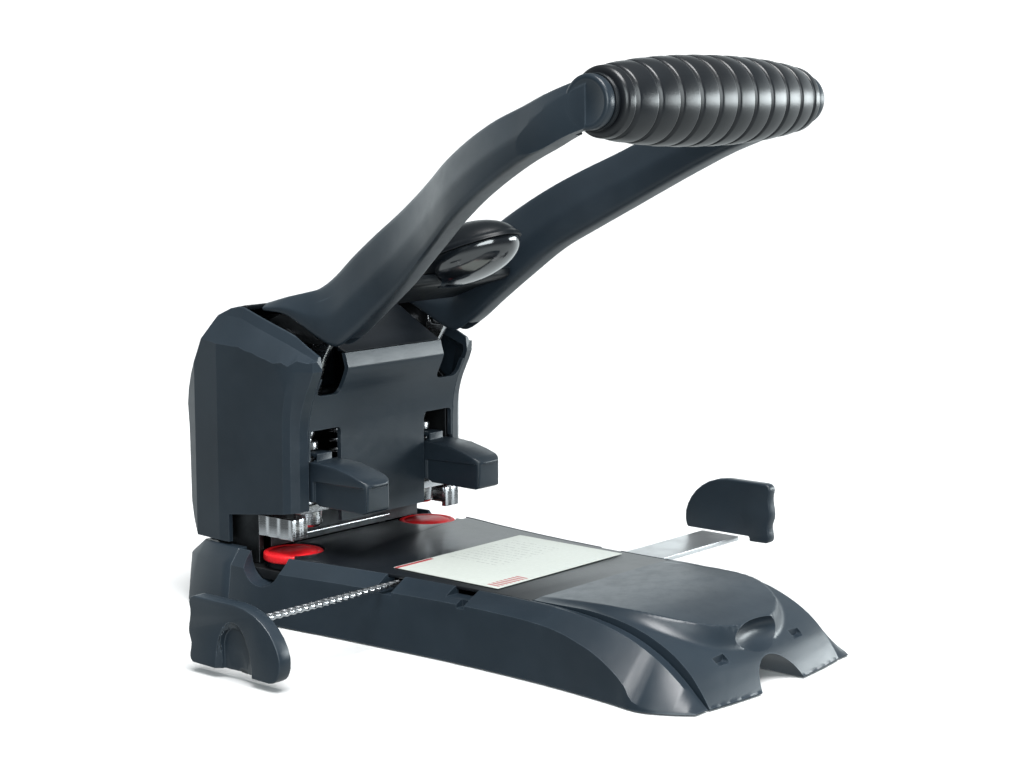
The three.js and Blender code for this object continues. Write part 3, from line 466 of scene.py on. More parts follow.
def moulding(name, dark, light, rough, worn_and_lit_edge, wear_and_highlight, specular, grain=2600, depth=0.05, spread=0.08, coat=0.0):
    """Moulded plastic: a slow drift of tone, fine spark texture, lighter edges that are partly rubbed and
    partly a painted highlight, and a few dull patches.
    """
    n = Nodes(name)
    drift = n.noise(26, detail=3)
    fine = n.noise(grain, detail=2, rough=0.6)
    tone = n.mix(n.spread(drift, 0.35, 0.65), dark, light)
    patchy = n.spread(n.noise(160, detail=5, rough=0.65), 0.42, 0.7)
    # lighter edges: partly rubbed plastic, partly a painted highlight along every edge
    rub_and_edge_highlight = n.math("MULTIPLY", n.edges(0.7), n.spread(patchy, 0, 1, wear_and_highlight * 0.5, wear_and_highlight))
    n.link(n.mix(rub_and_edge_highlight, tone, worn_and_lit_edge), n.shader.inputs["Base Color"])
    dull = n.spread(patchy, 0, 1, rough - spread, rough + spread)
    n.link(n.math("ADD", dull, n.math("MULTIPLY", fine, 0.06)), n.shader.inputs["Roughness"])
    n.bump(fine, 0.5, depth)
    n.set(Specular_IOR_Level=specular, Coat_Weight=coat, Coat_Roughness=0.12)
    return n.material


def metal(name, dark, light, rough, brush, worn_and_lit_edge):
    """Drawn or ground metal: fine lines along one direction, faint stains and brighter edges, partly rubbed
    and partly a painted highlight.
    """
    n = Nodes(name)
    lines = n.noise(1.0, detail=6, rough=0.7, where=n.stretched(brush))
    stain = n.spread(n.noise(90, detail=4), 0.4, 0.7)
    tone = n.mix(stain, light, dark)
    # brighter edges: partly rubbed metal, partly a painted highlight along every edge
    n.link(n.mix(n.math("MULTIPLY", n.edges(0.4), 0.7), tone, worn_and_lit_edge), n.shader.inputs["Base Color"])
    brushed = n.spread(lines, 0.3, 0.7, rough - 0.08, rough + 0.1)
    n.link(n.math("ADD", brushed, n.math("MULTIPLY", stain, 0.08)), n.shader.inputs["Roughness"])
    n.bump(lines, 0.35, 0.02)
    n.set(Metallic=1.0)
    return n.material


def rubber(name):
    """Soft black grip: a close matte pebble with a faint sheen where hands have polished it."""
    n = Nodes(name)
    pebble = n.add("ShaderNodeTexVoronoi", feature="SMOOTH_F1")
    n.link(n.place, pebble.inputs["Vector"])
    pebble.inputs["Scale"].default_value = 1500
    polish = n.spread(n.noise(45, detail=3), 0.35, 0.7)
    n.link(n.mix(polish, (0.004, 0.005, 0.007), (0.008, 0.010, 0.013)), n.shader.inputs["Base Color"])
    n.link(n.spread(polish, 0, 1, 0.36, 0.28), n.shader.inputs["Roughness"])
    n.bump(pebble.outputs["Distance"], 0.25, 0.05)
    n.set(Specular_IOR_Level=0.55)
    return n.material


def printed_sheet(name):
    """Pale label: rows of broken grey dashes that say nothing, a red rule and a row of red bars."""
    n = Nodes(name)
    low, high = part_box("label_sheet")
    parts = n.add("ShaderNodeSeparateXYZ")
    n.link(n.place, parts.inputs["Vector"])
    across = n.spread(parts.outputs["X"], low.x, high.x)
    back = n.spread(parts.outputs["Y"], low.y, high.y)

    def band(value, a, b):
        """1 where a value lies between a and b, else 0."""
        return n.math("MULTIPLY", n.math("GREATER_THAN", value, a), n.math("LESS_THAN", value, b))

    rows = n.math("LESS_THAN", n.math("FRACT", n.math("MULTIPLY", across, 22)), 0.3)
    broken = n.math("GREATER_THAN", n.noise(1.0, detail=1, where=n.stretched((210, 900, 1))), 0.5)
    field = n.math("MULTIPLY", band(across, 0.34, 0.9), band(back, 0.45, 0.93))
    print_mask = n.math("MULTIPLY", n.math("MULTIPLY", rows, broken), field)
    rule = n.math("MULTIPLY", band(across, 0.0, 0.27), band(back, 0.955, 0.99))
    patch = n.math("MULTIPLY", band(across, 0.02, 0.26), band(back, 0.03, 0.14))
    bars = n.math("LESS_THAN", n.math("FRACT", n.math("MULTIPLY", across, 33)), 0.62)
    mark = n.math("MULTIPLY", patch, bars)
    paper = n.mix(n.spread(n.noise(500, detail=4), 0.3, 0.7), (0.53, 0.56, 0.52), (0.56, 0.59, 0.55))
    inked = n.mix(n.math("MULTIPLY", print_mask, 0.35), paper, (0.17, 0.18, 0.18))
    ruled = n.mix(n.math("ADD", rule, n.math("MULTIPLY", mark, 0.8)), inked, (0.36, 0.03, 0.04))
    n.link(ruled, n.shader.inputs["Base Color"])
    n.link(n.spread(n.noise(700, detail=3), 0.3, 0.7, 0.42, 0.55), n.shader.inputs["Roughness"])
    n.bump(n.noise(900, detail=3), 0.15, 0.03)
    return n.material


def floor_finish(name):
    """Matt pale ground with a barely visible drift of tone."""
    n = Nodes(name)
    n.link(n.mix(n.spread(n.noise(3, detail=3), 0.3, 0.7), (0.70, 0.70, 0.70), (0.71, 0.71, 0.71)),
           n.shader.inputs["Base Color"])
    n.set(Roughness=0.9, Specular_IOR_Level=0.1)
    return n.material


# each finish's edge colour is partly rubbed material and partly a painted highlight
FINISH = {
    "slate_plastic": moulding("slate_moulding", (0.015, 0.023, 0.032), (0.020, 0.030, 0.041), 0.32,
                              worn_and_lit_edge=(0.07, 0.09, 0.11), wear_and_highlight=0.7, specular=0.5, spread=0.03),
    "black_plastic": moulding("black_moulding", (0.004, 0.006, 0.008), (0.007, 0.009, 0.012), 0.36,
                              worn_and_lit_edge=(0.04, 0.046, 0.052), wear_and_highlight=0.6, specular=0.25, spread=0.04),
    "gloss_black": moulding("gloss_moulding", (0.004, 0.005, 0.007), (0.006, 0.008, 0.011), 0.30,
                            worn_and_lit_edge=(0.03, 0.036, 0.042), wear_and_highlight=0.5, specular=0.5, grain=1800, depth=0.015,
                            spread=0.008),
    "lacquer": moulding("lacquer_moulding", (0.006, 0.008, 0.011), (0.011, 0.014, 0.018), 0.12,
                        worn_and_lit_edge=(0.04, 0.05, 0.06), wear_and_highlight=0.5, specular=1.0, grain=1800, depth=0.008,
                        spread=0.04, coat=1.0),
    "rubber": rubber("grip_rubber"),
    "steel": metal("bright_steel", (0.50, 0.51, 0.53), (0.66, 0.67, 0.69), 0.22, (60, 60, 2600),
                   (0.85, 0.86, 0.88)),
    "dark_steel": metal("oxide_steel", (0.045, 0.048, 0.052), (0.075, 0.08, 0.085), 0.42, (400, 400, 400),
                        (0.30, 0.31, 0.33)),
    "aluminium": metal("satin_aluminium", (0.74, 0.75, 0.76), (0.84, 0.85, 0.86), 0.36, (30, 2600, 2600),
                       (0.93, 0.94, 0.95)),
    "red_plastic": moulding("red_moulding", (0.72, 0.012, 0.018), (0.82, 0.018, 0.026), 0.42,
                            worn_and_lit_edge=(0.70, 0.12, 0.12), wear_and_highlight=0.4, specular=0.3),
    "paper": printed_sheet("printed_sheet"),
}
OWN_FINISH = {"dome_base": "lacquer"}


def finished(obj, node):
    """Gives a piece the finish and body of the CAD node that it stands for."""
    obj.data.materials.clear()
    obj.data.materials.append(FINISH[OWN_FINISH.get(node, SLOT_OF[node])])
    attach(obj, BODY_OF[node])
    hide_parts(node)
    return obj


def refined(node, width, angle=34):
    """A CAD node's own shape with its edges rounded."""
    obj = make(node + "_fine", frame["nodes"][node].data.copy())
    round_edges(obj, width, angle)
    return finished(obj, node)


# ---------------------------------------------------------------- handle
ARM = (  # lower edge (Y, Z), upper edge (Y, Z) and middle plane X of an arm, from the head to the grip
    (20, 147.6, 21.5, 151.4, ARM_X), (6, 146.6, 8.5, 155, ARM_X), (-6, 141.6, -3, 157.6, ARM_X),
    (-17, 136.4, -13.5, 160.4, ARM_X), (-27, 133.6, -23.5, 166.4, ARM_X), (-39, 140, -36, 176.8, ARM_X),
    (-52, 150, -50, 187.2, ARM_X + 0.2), (-71, 164.6, -66, 197.6, 44), (-87.5, 177.8, -82, 207.4, 47.8),
    (-101, 186.6, -96, 215.4, 53.4), (-118, 197.4, -112, 224, 61), (-135, 207.6, -130, 233.4, 66.6),
    (-152, 217, -148, 241.6, 70.4), (-168, 225, -165, 247.6, 73), (-182, 230.8, -180, 253.2, 75.2),
    (-193, 235.8, -192, 257, 76.2), (-203, 239.2, -203, 260, 76.6),
)
ARM_SECTION = (  # across the arm, as offset from its middle plane and height from lower to upper edge
    (0.5, 0.0), (0.72, 0.008), (0.88, 0.03), (0.96, 0.07), (0.99, 0.13), (1.0, 0.24), (1.0, 0.36),
    (0.98, 0.43), (0.93, 0.49), (0.85, 0.55), (0.70, 0.675), (0.52, 0.81), (0.38, 0.915), (0.28, 0.965),
    (0.15, 0.992), (0.0, 1.0),
)


def arm_shell(name):
    """The right arm's blade: its section carried along the lower and upper edges."""
    low = [Vector((x, y, z)) for y, z, _, _, x in ARM]
    high = [Vector((x, y, z)) for _, _, y, z, x in ARM]
    mirror = [(-w, h) for w, h in ARM_SECTION[-2::-1]]
    rings = []
    for t in stations(0, 1, 110):
        a, b = centripetal(low, t), centripetal(high, t)
        half = ARM_HALF + 1.2 * min(1, max(0, (-a.y - 60) / 60))
        ring = []
        for w, h in (*ARM_SECTION, *mirror):
            p = a.lerp(b, h)
            ring.append((p.x + w * half, p.y, p.z))
        rings.append(ring)
    return loft(name, rings)


def handle_arm(name, side):
    """An arm with a slot for its lever plate and a round boss at the end of the grip."""
    arm = arm_shell("arm_" + name)
    bore = GRIP_CORE + GAP
    ring = [(0.01, 40), (GRIP_R_END + 2, 40), (GRIP_R_END + 2, GRIP_INNER), (0.01, GRIP_INNER)]
    cut(arm, lathe("cutter", ring, "x", GRIP_Y, GRIP_Z, 64))
    cut(arm, block("cutter", (GRIP_HALF, -260, 200), (100, -150, 300)))
    pocket = [(26, 100), (26, 147.5), (4, 150.5), (-14, 153.6), (-30, 159.5), (-36.6, 158), (-36.6, 100)]
    cut(arm, prism("cutter", pocket, "x", 37.7, 46.2))
    boss = [(bore, GRIP_INNER), (BOSS_R - 0.6, GRIP_INNER), (BOSS_R - 0.15, GRIP_INNER + 0.3),
            (BOSS_R, GRIP_INNER + 1), (BOSS_R, GRIP_HALF - 1.2), (BOSS_R - 0.3, GRIP_HALF - 0.5),
            (BOSS_R - 0.9, GRIP_HALF - 0.1), (BOSS_R - 1.6, GRIP_HALF), (BOSS_R - 2.4, GRIP_HALF - 0.15),
            (BOSS_R - 2.9, GRIP_HALF - 0.5), (0.01, GRIP_HALF - 0.5), (0.01, GRIP_HALF - 1.5),
            (bore, GRIP_HALF - 1.5)]
    join(arm, lathe("boss", boss, "x", GRIP_Y, GRIP_Z, 72))
    shade(arm, 38)
    if side < 0:
        mirror(arm)
    finished(arm, "handle_arm_" + name)


def sleeve_radius(x):
    """The sleeve's radius before its ribs: full in the middle and slimmer at both ends."""
    return GRIP_R_MIDDLE - (GRIP_R_MIDDLE - GRIP_R_END) * (abs(x) / GRIP_SLEEVE) ** 2.3


def grip_sleeve():
    """Twelve barrelled ribs with a rounded groove between each pair."""
    end, bore = GRIP_SLEEVE, GRIP_CORE + GAP
    profile = [(bore, -end)]
    for x in stations(-end, end, 420):
        r = sleeve_radius(x)
        offset = abs(x / GRIP_PITCH - round(x / GRIP_PITCH)) * 2
        barrel = 0.35 * (1 - offset) ** 2
        groove = 1.5 * math.exp(-((offset * GRIP_PITCH / 2) / 0.8) ** 2)
        tip = max(0, 1 - (end - abs(x)) / 2.2)
        profile.append((r - barrel - groove - 2.2 * (1 - math.sqrt(max(0, 1 - tip ** 2))), x))
    profile.append((bore, end))
    sleeve = lathe("grip_sleeve_fine", profile, "x", GRIP_Y, GRIP_Z, 96)
    shade(sleeve, 50)
    finished(sleeve, "grip_sleeve")


def grip_collar(name, side):
    """Flanged ring between the sleeve and an arm's boss."""
    a, b = GRIP_SLEEVE + GAP, GRIP_INNER - GAP
    bore = GRIP_CORE + GAP
    profile = [(bore, a), (11.2, a), (11.65, a + 0.3), (11.8, a + 0.8), (11.3, (a + b) / 2),
               (11.8, b - 0.6), (11.6, b - 0.2), (11.2, b), (bore, b)]
    collar = lathe("grip_collar_%s_fine" % name, [(r, side * x) for r, x in profile], "x", GRIP_Y, GRIP_Z)
    shade(collar, 60)
    finished(collar, "grip_collar_" + name)


def dome_piece(name, above):
    """One half of the dome: a glossy bowl below, or a matte cap with a raised rim above."""
    turn = Matrix.Rotation(-DOME["tilt"], 3, "X")
    grow = 1.1 if above else 0.0
    radii = (DOME["wide"] + grow, DOME["long"] + grow, DOME["thick"] + grow)
    shift = (DOME["split"] + (GAP / 2 if above else -GAP / 2)) / radii[2]
    sign = 1 if above else -1
    start = math.asin(sign * shift)
    columns = 96
    rings = []
    for t in stations(0, 1, 40):
        p = start + (math.pi / 2 - start) * t
        r, h = math.cos(p), sign * math.sin(p)
        if above:
            # a lip round the rim, then a shallow step up to the crown
            r -= 0.035 * min(1, max(0, (t - 0.09) / 0.05)) * (1 - t)
        rings.append((max(r, 0.002), h))
    if above:
        rings[0] = (rings[0][0] - 0.02, rings[0][1])
        rings.insert(1, (rings[1][0] + 0.004, (rings[0][1] + rings[1][1]) / 2))
    else:
        rings.insert(0, (rings[0][0] - 0.02, rings[0][1]))
    centre = Vector((0, DOME["y"], DOME["z"]))
    placed = []
    for r, h in rings:
        ring = []
        for a in circle(columns):
            local = Vector((r * math.cos(a) * radii[0], r * math.sin(a) * radii[1], h * radii[2]))
            ring.append(centre + turn @ local)
        placed.append(ring)
    piece = loft(name + "_fine", placed)
    shade(piece, 50)
    finished(piece, name)


# ---------------------------------------------------------------- drawer
TRAY_Z = smooth([[-140, 32], [-165, 32.3], [-180, 32.6], [-190, 32], [-199.5, 30.8], [-210, 28.4],
                 [-220.6, 24.4], [-229, 19.8], [-236, 14.2], [-241, 8.4], [-244.6, 3.4], [-246, 1.2]])
HUMP_Z = smooth([[-151, 32.5], [-172, 33.8], [-190, 34.4], [-206, 33.8], [-219, 31.6], [-229, 29],
                 [-237, 26.4], [-250, 20]])


def hump_half(y):
    """Half the width of the raised pad at a station, closing in an oval towards the front."""
    if y > HUMP_START:
        return HUMP_HALF
    t = (HUMP_START - y) / (HUMP_START - HUMP_END)
    return HUMP_HALF * (1 - t ** 2.5) ** 0.5 if t < 1 else -HUMP_FLANK


def bow(x):
    """The share of the front edge's bow at x, 1 in the middle."""
    return 1 - (x / TRAY_BOW_HALF) ** 2


def tray_top(x, y, drop):
    """The height of the drawer's face: a slope to the nose, with the raised pad blended in."""
    lead = max(0, min(1, (-150 - y) / 90))
    low = along(TRAY_Z, y + TRAY_BOW * lead * bow(x))
    t = max(0, min(1, (hump_half(y) + HUMP_FLANK - abs(x)) / HUMP_FLANK))
    return low + max(0, along(HUMP_Z, y) - low) * t ** 2 - drop


def tray_skin(name, half, drop, rear, front, columns, rows):
    """A solid under the drawer's face, lowered by drop."""
    xs = stations(-half, half, columns)
    rings = []
    for y in stations(rear, front, rows):
        top = [(x, y, max(tray_top(x, y, drop), RIM_Z + 0.05)) for x in xs]
        rings.append(top + [(x, y, RIM_Z - 1) for x in reversed(xs)])
    return loft(name, rings)


def chip_tray():
    """The nose, hollowed and cut for a finger, with an open box behind it."""
    tray = tray_skin("chip_tray_fine", TRAY_HALF, 0, TRAY_REAR, -251, 120, 140)
    edge = [(x, TRAY_FRONT - TRAY_BOW * bow(x)) for x in stations(-TRAY_BOW_HALF, TRAY_BOW_HALF, 60)]
    outline = edge + [(TRAY_BOW_HALF, 20), (-TRAY_BOW_HALF, 20)]
    cut(tray, prism("cutter", outline, "z", RIM_Z, 60), "INTERSECT")
    cut(tray, ellipsoid("cutter", (0, -250, 22.4), (25, 19, 9.4), 96, 64))
    hollow = tray_skin("hollow", TRAY_HALF - WALL, WALL + 0.6, -150, -222, 24, 24)
    cut(hollow, block("cutter", (-60, -154, DRAWER_TOP), (60, -149, 50)))
    cut(tray, hollow)
    arch = [(16.8 * math.cos(a), -3.8 + 16.8 * math.sin(a)) for a in circle(96)]
    cut(tray, prism("cutter", arch, "y", -260, -226))
    for _, side in SIDES:
        recess = rounded_rectangle(29 * side - 4, 29 * side + 4, 14.2, 17.8, 1.2)
        cut(tray, prism("cutter", recess, "y", -260, -235.2))
    cut(tray, block("cutter", (-60, -198.6, -5), (60, 20, 4.8)))
    drawer = block("drawer", (-TRAY_HALF, -206, 4.8), (TRAY_HALF, 12, DRAWER_TOP))
    inside = TRAY_HALF - 1.8
    cut(drawer, block("cutter", (-inside, -203.6, 6.6), (inside, 10.2, 30)))
    round_edges(drawer, 0.5)
    soften(tray, 0.45, 40)
    join(tray, drawer)
    join(tray, block("front_wall", (1 - TRAY_HALF, -206, 5.5), (TRAY_HALF - 1, -203.6, 25.5)))
    finished(tray, "chip_tray")


# ---------------------------------------------------------------- head
HEAD_LEAN = smooth([[20, -13], [60, -13], [88, -13], [97, -13.7], [103, -15], [109.5, -17.3], [116, -20.6],
                    [121.8, -23], [127, -23.2]])


def head_front_cover():
    """Thin front wall that leans forward at the top and turns back in a light-catching band."""
    face = [(min(along(HEAD_LEAN, z), HEAD_FACE_Y), z) for z in stations(45.5, 121.8, 60)]
    face += [(-22.9, 122.6), (-20.9, 129)]
    back = [(y + WALL, z) for y, z in reversed(face)]
    cover = prism("head_cover_front_fine", face + back, "x", -HEAD_HALF, HEAD_HALF)
    for _, side in SIDES:
        # each opening's near and far X, low and high Z, and corner radius
        for x0, x1, z0, z1, r in ((34, 50.2, 109, 170, 3.5), (48, 60, 118, 170, 0.5),
                                  (29.7, 50.3, 60, 92, 2.2), (29.7, 60, 40, 77.7, 0.3)):
            low_x, high_x = sorted((side * x0, side * x1))
            cut(cover, prism("cutter", rounded_rectangle(low_x, high_x, z0, z1, r), "y", -40, 0))
    soften(cover, 0.6, 38, 3)
    finished(cover, "head_cover_front")


HEAD_BACK = smooth([[20, 56.5], [33.2, 57.6], [42, 61.6], [50, 63.6], [87, 64.8], [99, 65.9], [106, 64.9],
                    [114, 61.9], [121.6, 57.7], [133.4, 51.6], [144.2, 46.5], [150, 43]])
TOP_COVER_REAR = 47.0


def head_rear_cover():
    """Curved rear wall with a hole for each of its two screws."""
    face = [(min(along(HEAD_BACK, z), 66), z) for z in stations(34.2, 143, 64)]
    back = [(y - WALL, z) for y, z in reversed(face)]
    rings = [[(x, y, z) for y, z in face + back] for x in stations(-HEAD_HALF, HEAD_HALF, 48)]
    cover = loft("head_cover_rear_fine", rings)
    cut(cover, block("cutter", (-60, 30, 100), (60, TOP_COVER_REAR + GAP, 160)))
    for name, _ in SIDES:
        low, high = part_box("head_screw_" + name)
        x, z = (low.x + high.x) / 2 / MM, (low.z + high.z) / 2 / MM
        hole = [(0.01, 50), (2, 50), (2, 70), (0.01, 70)]
        cut(cover, lathe("cutter", hole, "y", x, z, 32))
    soften(cover, 0.6, 38, 3)
    finished(cover, "head_cover_rear")


# ---------------------------------------------------------------- base
FOOT = smooth([[60, 66], [40, 70.5], [8, 73.5], [-20, 72], [-45, 69.6], [-75, 67.6], [-110, 65.4],
               [-150, 65], [-180, 66.2], [-208, 69], [-224, 71], [-236, 66.5], [-246, 59.6]])
WALL_TOP = smooth([[60, 63], [40, 67.5], [8, 70.5], [-20, 69], [-45, 66.8], [-75, 65], [-110, 63],
                   [-150, 62.8], [-180, 64.4], [-208, 67.6], [-224, 70.4], [-236, 65.9], [-246, 59.2]])
WALL_TOP_Z = smooth([[60, 24.4], [0, 25], [-50, 26], [-110, 26.8], [-150, 26.6], [-166, 26], [-177, 24.8],
                     [-187, 22.6], [-198, 19.4], [-209, 14.2], [-217, 9], [-223, 3.6], [-246, 1.4]])
TABLE = smooth([[60, 58], [40, 62.5], [8, 64.5], [-14, 64], [-35, 60.5], [-60, 57.2], [-90, 54.4],
                [-131, 52.6], [-165, 53.4], [-195, 55], [-225, 55.8], [-246, 55]])
NOSE_Z = smooth([[-140, 32], [-160, 31.9], [-174, 31.4], [-190, 29.8], [-204, 27], [-215, 23.2],
                 [-226, 17.6], [-235, 11], [-241, 5.6], [-246, 1.3]])


def base_ring(y):
    """The base's outline across one station, symmetrical about the middle."""
    foot, wall = along(FOOT, y), along(WALL_TOP, y)
    top = DECK_Z if y > -140 else along(NOSE_Z, y)
    wall_z = min(along(WALL_TOP_Z, y), top - 0.15)
    table = min(along(TABLE, y), wall - 0.2)
    half = [(foot, RIM_Z), (foot + (wall - foot) * 0.5, (RIM_Z + wall_z) / 2), (wall, wall_z), (table, top)]
    return [(x, y, z) for x, z in half] + [(-x, y, z) for x, z in reversed(half)]


def base_shell():
    """The base's outer shell, cut for the drawer, the deck, the head, the discs and both guides."""
    shell = loft("base_shell_fine", [base_ring(y) for y in stations(23.6, -246, 130)])
    deck_edge = [(along(TABLE, y) - 0.7, y) for y in stations(30, DECK_FRONT - 0.4, 60)]
    deck_seat = deck_edge + [(-x, y) for x, y in reversed(deck_edge)]
    cutters = [
        block("cutter", (-BAY_HALF, -260, 4.2), (BAY_HALF, 17, 18.9)),
        block("cutter", (-BAY_HALF, -260, 4.3), (BAY_HALF, -136, 40)),
        block("cutter", (-BAY_HALF, -260, -1), (BAY_HALF, -198, 10)),
        block("cutter", (-63.2, -15.4, 18.8), (63.2, 30, 40)),
        block("cutter", (-BAY_HALF + 0.05, -140, 18.6), (BAY_HALF - 0.05, 30, 41)),
        block("cutter", (-53, -192.4, -1), (53, 22, 2.1)),
        prism("cutter", deck_seat, "z", DECK_Z - 1.85, 39),
        block("cutter", (-80, ROD_Y - 5.2, 25.2), (-50, ROD_Y + 5.2, 42)),
        block("cutter", (48, BAR_Y0 - 0.7, BAR_Z0 - 0.6), (80, BAR_Y1 + 0.7, BAR_Z1 + 0.6)),
    ]
    rail = [(54.2, 14), (67.8, 14), (66.6, -20), (64.2, -50), (61.6, -110), (61.4, -160), (63, -196),
            (54.2, -196)]
    scoop = [(DISC_Y + 13.4 * math.cos(a), 31 + 13.4 * math.sin(a))
             for a in circle(72)]
    for _, side in SIDES:
        cutters.append(prism("cutter", [(side * x, y) for x, y in rail], "z", -2, 17.5))
        near, far = sorted((side * 55.5, side * 80))
        cutters.append(prism("cutter", scoop, "x", near, far))
        for inner, outer, y1, z0 in ((50.1, 60.4, -108.5, 28.4), (58.5, 72, -117.5, 25.2)):
            near, far = sorted((side * inner, side * outer))
            cutters.append(block("cutter", (near, -122.01, z0), (far, y1, 43)))
    for cutter in cutters:
        cut(shell, cutter)
    soften(shell, 0.5, 30)
    finished(shell, "base_shell")


# ---------------------------------------------------------------- small steel pieces
def helix(name, x, y, z0, z1, radius, wire, turns):
    """A coil spring with closed ends, as a tube along a rising circle."""
    steps, sides = turns * 28, 8
    rings = []
    for k in range(steps + 1):
        t = k / steps
        a = 2 * math.pi * turns * t
        rise = min(1, max(0, (t - 0.09) / 0.82))
        z = z0 + wire + (z1 - z0 - 2 * wire) * rise
        out = Vector((math.cos(a), math.sin(a), 0))
        centre = Vector((x, y, z)) + radius * out
        rings.append([centre + wire * (math.cos(b) * out + math.sin(b) * Vector((0, 0, 1)))
                      for b in circle(sides)])
    coil = loft(name, rings)
    coil.data.shade_smooth()
    return coil


def return_spring(name):
    """A coil spring in the return spring's place, between the ends of its box."""
    node = "return_spring_" + name
    low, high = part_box(node)
    x, y = (low.x + high.x) / 2 / MM, (low.y + high.y) / 2 / MM
    coil = helix(node + "_fine", x, y, low.z / MM, high.z / MM, SPRING_R, SPRING_WIRE, SPRING_TURNS)
    finished(coil, node)
    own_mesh(coil)


def left_blade():
    """The near guide's blade, its finger arch hollowed into a deeper scoop."""
    node = "guide_blade_left"
    blade = make(node + "_fine", frame["nodes"][node].data.copy())
    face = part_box(node)[0].x / MM
    cut(blade, ellipsoid("cutter", (face - 1, ROD_Y + 9, ROD_Z - 24), (5.2, 11.8, 23)))
    round_edges(blade, 0.8)
    finished(blade, node)


def twisted_rod():
    """Bright guide rod with three rolled flutes that wind along it."""
    low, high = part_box("guide_rod_left")
    rings = []
    for x in stations(low.x / MM, high.x / MM, 420):
        ring = []
        for b in circle(24):
            wave = math.cos(ROD_FLUTES * b - ROD_TWIST * x)
            r = ROD_R - ROD_FLUTE_DEPTH + ROD_FLUTE_DEPTH * wave
            ring.append((x, ROD_Y + r * math.cos(b), ROD_Z + r * math.sin(b)))
        rings.append(ring)
    rod = loft("guide_rod_left_fine", rings)
    shade(rod, 60)
    finished(rod, "guide_rod_left")


def stop_rail():
    """Thin bright rail along the foot of the back stop."""
    low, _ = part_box("back_stop")
    y, z = low.y / MM - 0.9, low.z / MM + 3.4
    half = 30
    profile = [(0.01, -half), (0.6, -half), (0.8, 0.2 - half), (0.8, half - 0.2), (0.6, half), (0.01, half)]
    rail = lathe("stop_rail", profile, "x", y, z, 20)
    shade(rail, 40)
    rail.data.materials.append(FINISH["steel"])
    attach(rail, "base")


def guide_channel(name, side):
    """Polished channel round the front edge of the outer frame plate, with rolled flutes outside."""
    low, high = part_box("frame_plate_outer_" + name)
    near, far = sorted((abs(low.x) / MM, abs(high.x) / MM))
    front, wall, back, z0, z1 = low.y / MM - 0.35, 2.6, 14.0, 39.4, 49.4
    outer_x, outer_y = far + 0.35 + wall, front - wall

    def flute(t, count):
        """The depth of one of count rolled flutes, over t from 0 to 1."""
        return 0.5 * (1 - math.cos(2 * math.pi * count * t)) / 2

    outline = [(outer_x - flute(t, 3), back + (outer_y - back) * t) for t in stations(0, 1, 64)]
    outline += [(outer_x + (near - 4 - outer_x) * t, outer_y + flute(t, 2)) for t in stations(0, 1, 32)[1:]]
    outline += [(near - 4, front), (far + 0.35, front), (far + 0.35, back)]
    channel = prism("guide_channel_" + name, [(side * x, y) for x, y in outline], "z", z0, z1)
    soften(channel, 0.3, 40)
    channel.data.materials.append(FINISH["steel"])
    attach(channel, BODY_OF["frame_plate_outer_" + name])


def cutting_disc(name, side):
    """Red disc with a bevelled, finely knurled rim and a shallow ring on top."""
    node = "cutting_disc_" + name
    low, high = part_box(node)
    top, foot, rim_foot = high.z / MM, low.z / MM, DISC_RIM_FOOT
    profile = [(0.01, foot), (4.0, foot), (4.4, foot + 0.4), (4.4, rim_foot), (DISC_R - 0.8, rim_foot),
               (DISC_R - 0.2, rim_foot + 0.3), (DISC_R, rim_foot + 0.8), (DISC_R, top - 0.9),
               (DISC_R - 0.2, top - 0.35), (DISC_R - 0.7, top), (DISC_R - 2.4, top),
               (DISC_R - 2.7, top - 0.25),
               (DISC_R - 3.4, top - 0.25), (DISC_R - 3.7, top), (0.01, top)]
    rings = []
    for a in circle(DISC_KNURLS * 4):
        knurl = DISC_KNURL_DEPTH * (1 - math.cos(DISC_KNURLS * a)) / 2
        ring = []
        for r, z in profile:
            r -= knurl if r > DISC_R - 0.5 else 0
            ring.append((side * DISC_X + r * math.cos(a), DISC_Y + r * math.sin(a), z))
        rings.append(ring)
    disc = torus_loft(node + "_fine", rings)
    shade(disc, 40)
    finished(disc, node)


def punch(name, side):
    """Hollow-ground punch with a neck for the fork and a domed head."""
    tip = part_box("punch_" + name)[0].z / MM
    profile = [(0.01, tip + 1.7), (1.9, tip + 1.2), (3, tip), (3, 74), (5.1, 74.2), (5.4, 74.5),
               (5.4, 77.7),
               (5.1, 78.1), (3.7, 78.2), (3.6, 78.4), (3.6, 80.6), (3.7, 80.9), (5.1, 81), (5.4, 81.3),
               (5.4, 84.2), (5, 84.8), (2.8, 85.4), (2.6, 86)]
    profile += [(max(0.01, 3.8 * math.cos(a)), 88.6 + 3.4 * math.sin(a))
                for a in stations(math.radians(-46), math.radians(90), 14)]
    piece = lathe("punch_%s_fine" % name, profile, "z", side * PUNCH_X, 0, 48)
    shade(piece, 40)
    finished(piece, "punch_" + name)


# ---------------------------------------------------------------- the object
ROUNDING = {  # CAD nodes that keep their shape, and how far their edges are rounded
    "rear_base_cover": 0.7, "base_mat": 0.5, "rear_foot": 0.5, "deck_cover": 0.4,
    "label_sheet": 0.1, "chassis_plate": 0.4, "frame_back_plate": 0.4, "guide_plate": 0.4, "back_stop": 0.3,
    "spacer_rod": 0.4, "pivot_axle": 0.5, "head_cover_top": 0.7,
    "rod_clamp": 0.4, "bar_clamp": 0.4, "press_beam": 0.8, "handle_web": 0.8, "grip_core": 0.5,
    "guide_blade_right": 0.9, "guide_bar_right": 0.35,
}
PAIR_ROUNDING = {
    "frame_plate_inner": 0.4, "frame_plate_outer": 0.4, "guide_bush": 0.3, "disc_seat": 0.3,
    "release_lever": 0.9, "press_yoke": 0.35, "lever_plate": 0.4, "crank_pin": 0.4, "axle_clip": 0.3,
    "head_screw": 0.15,
}

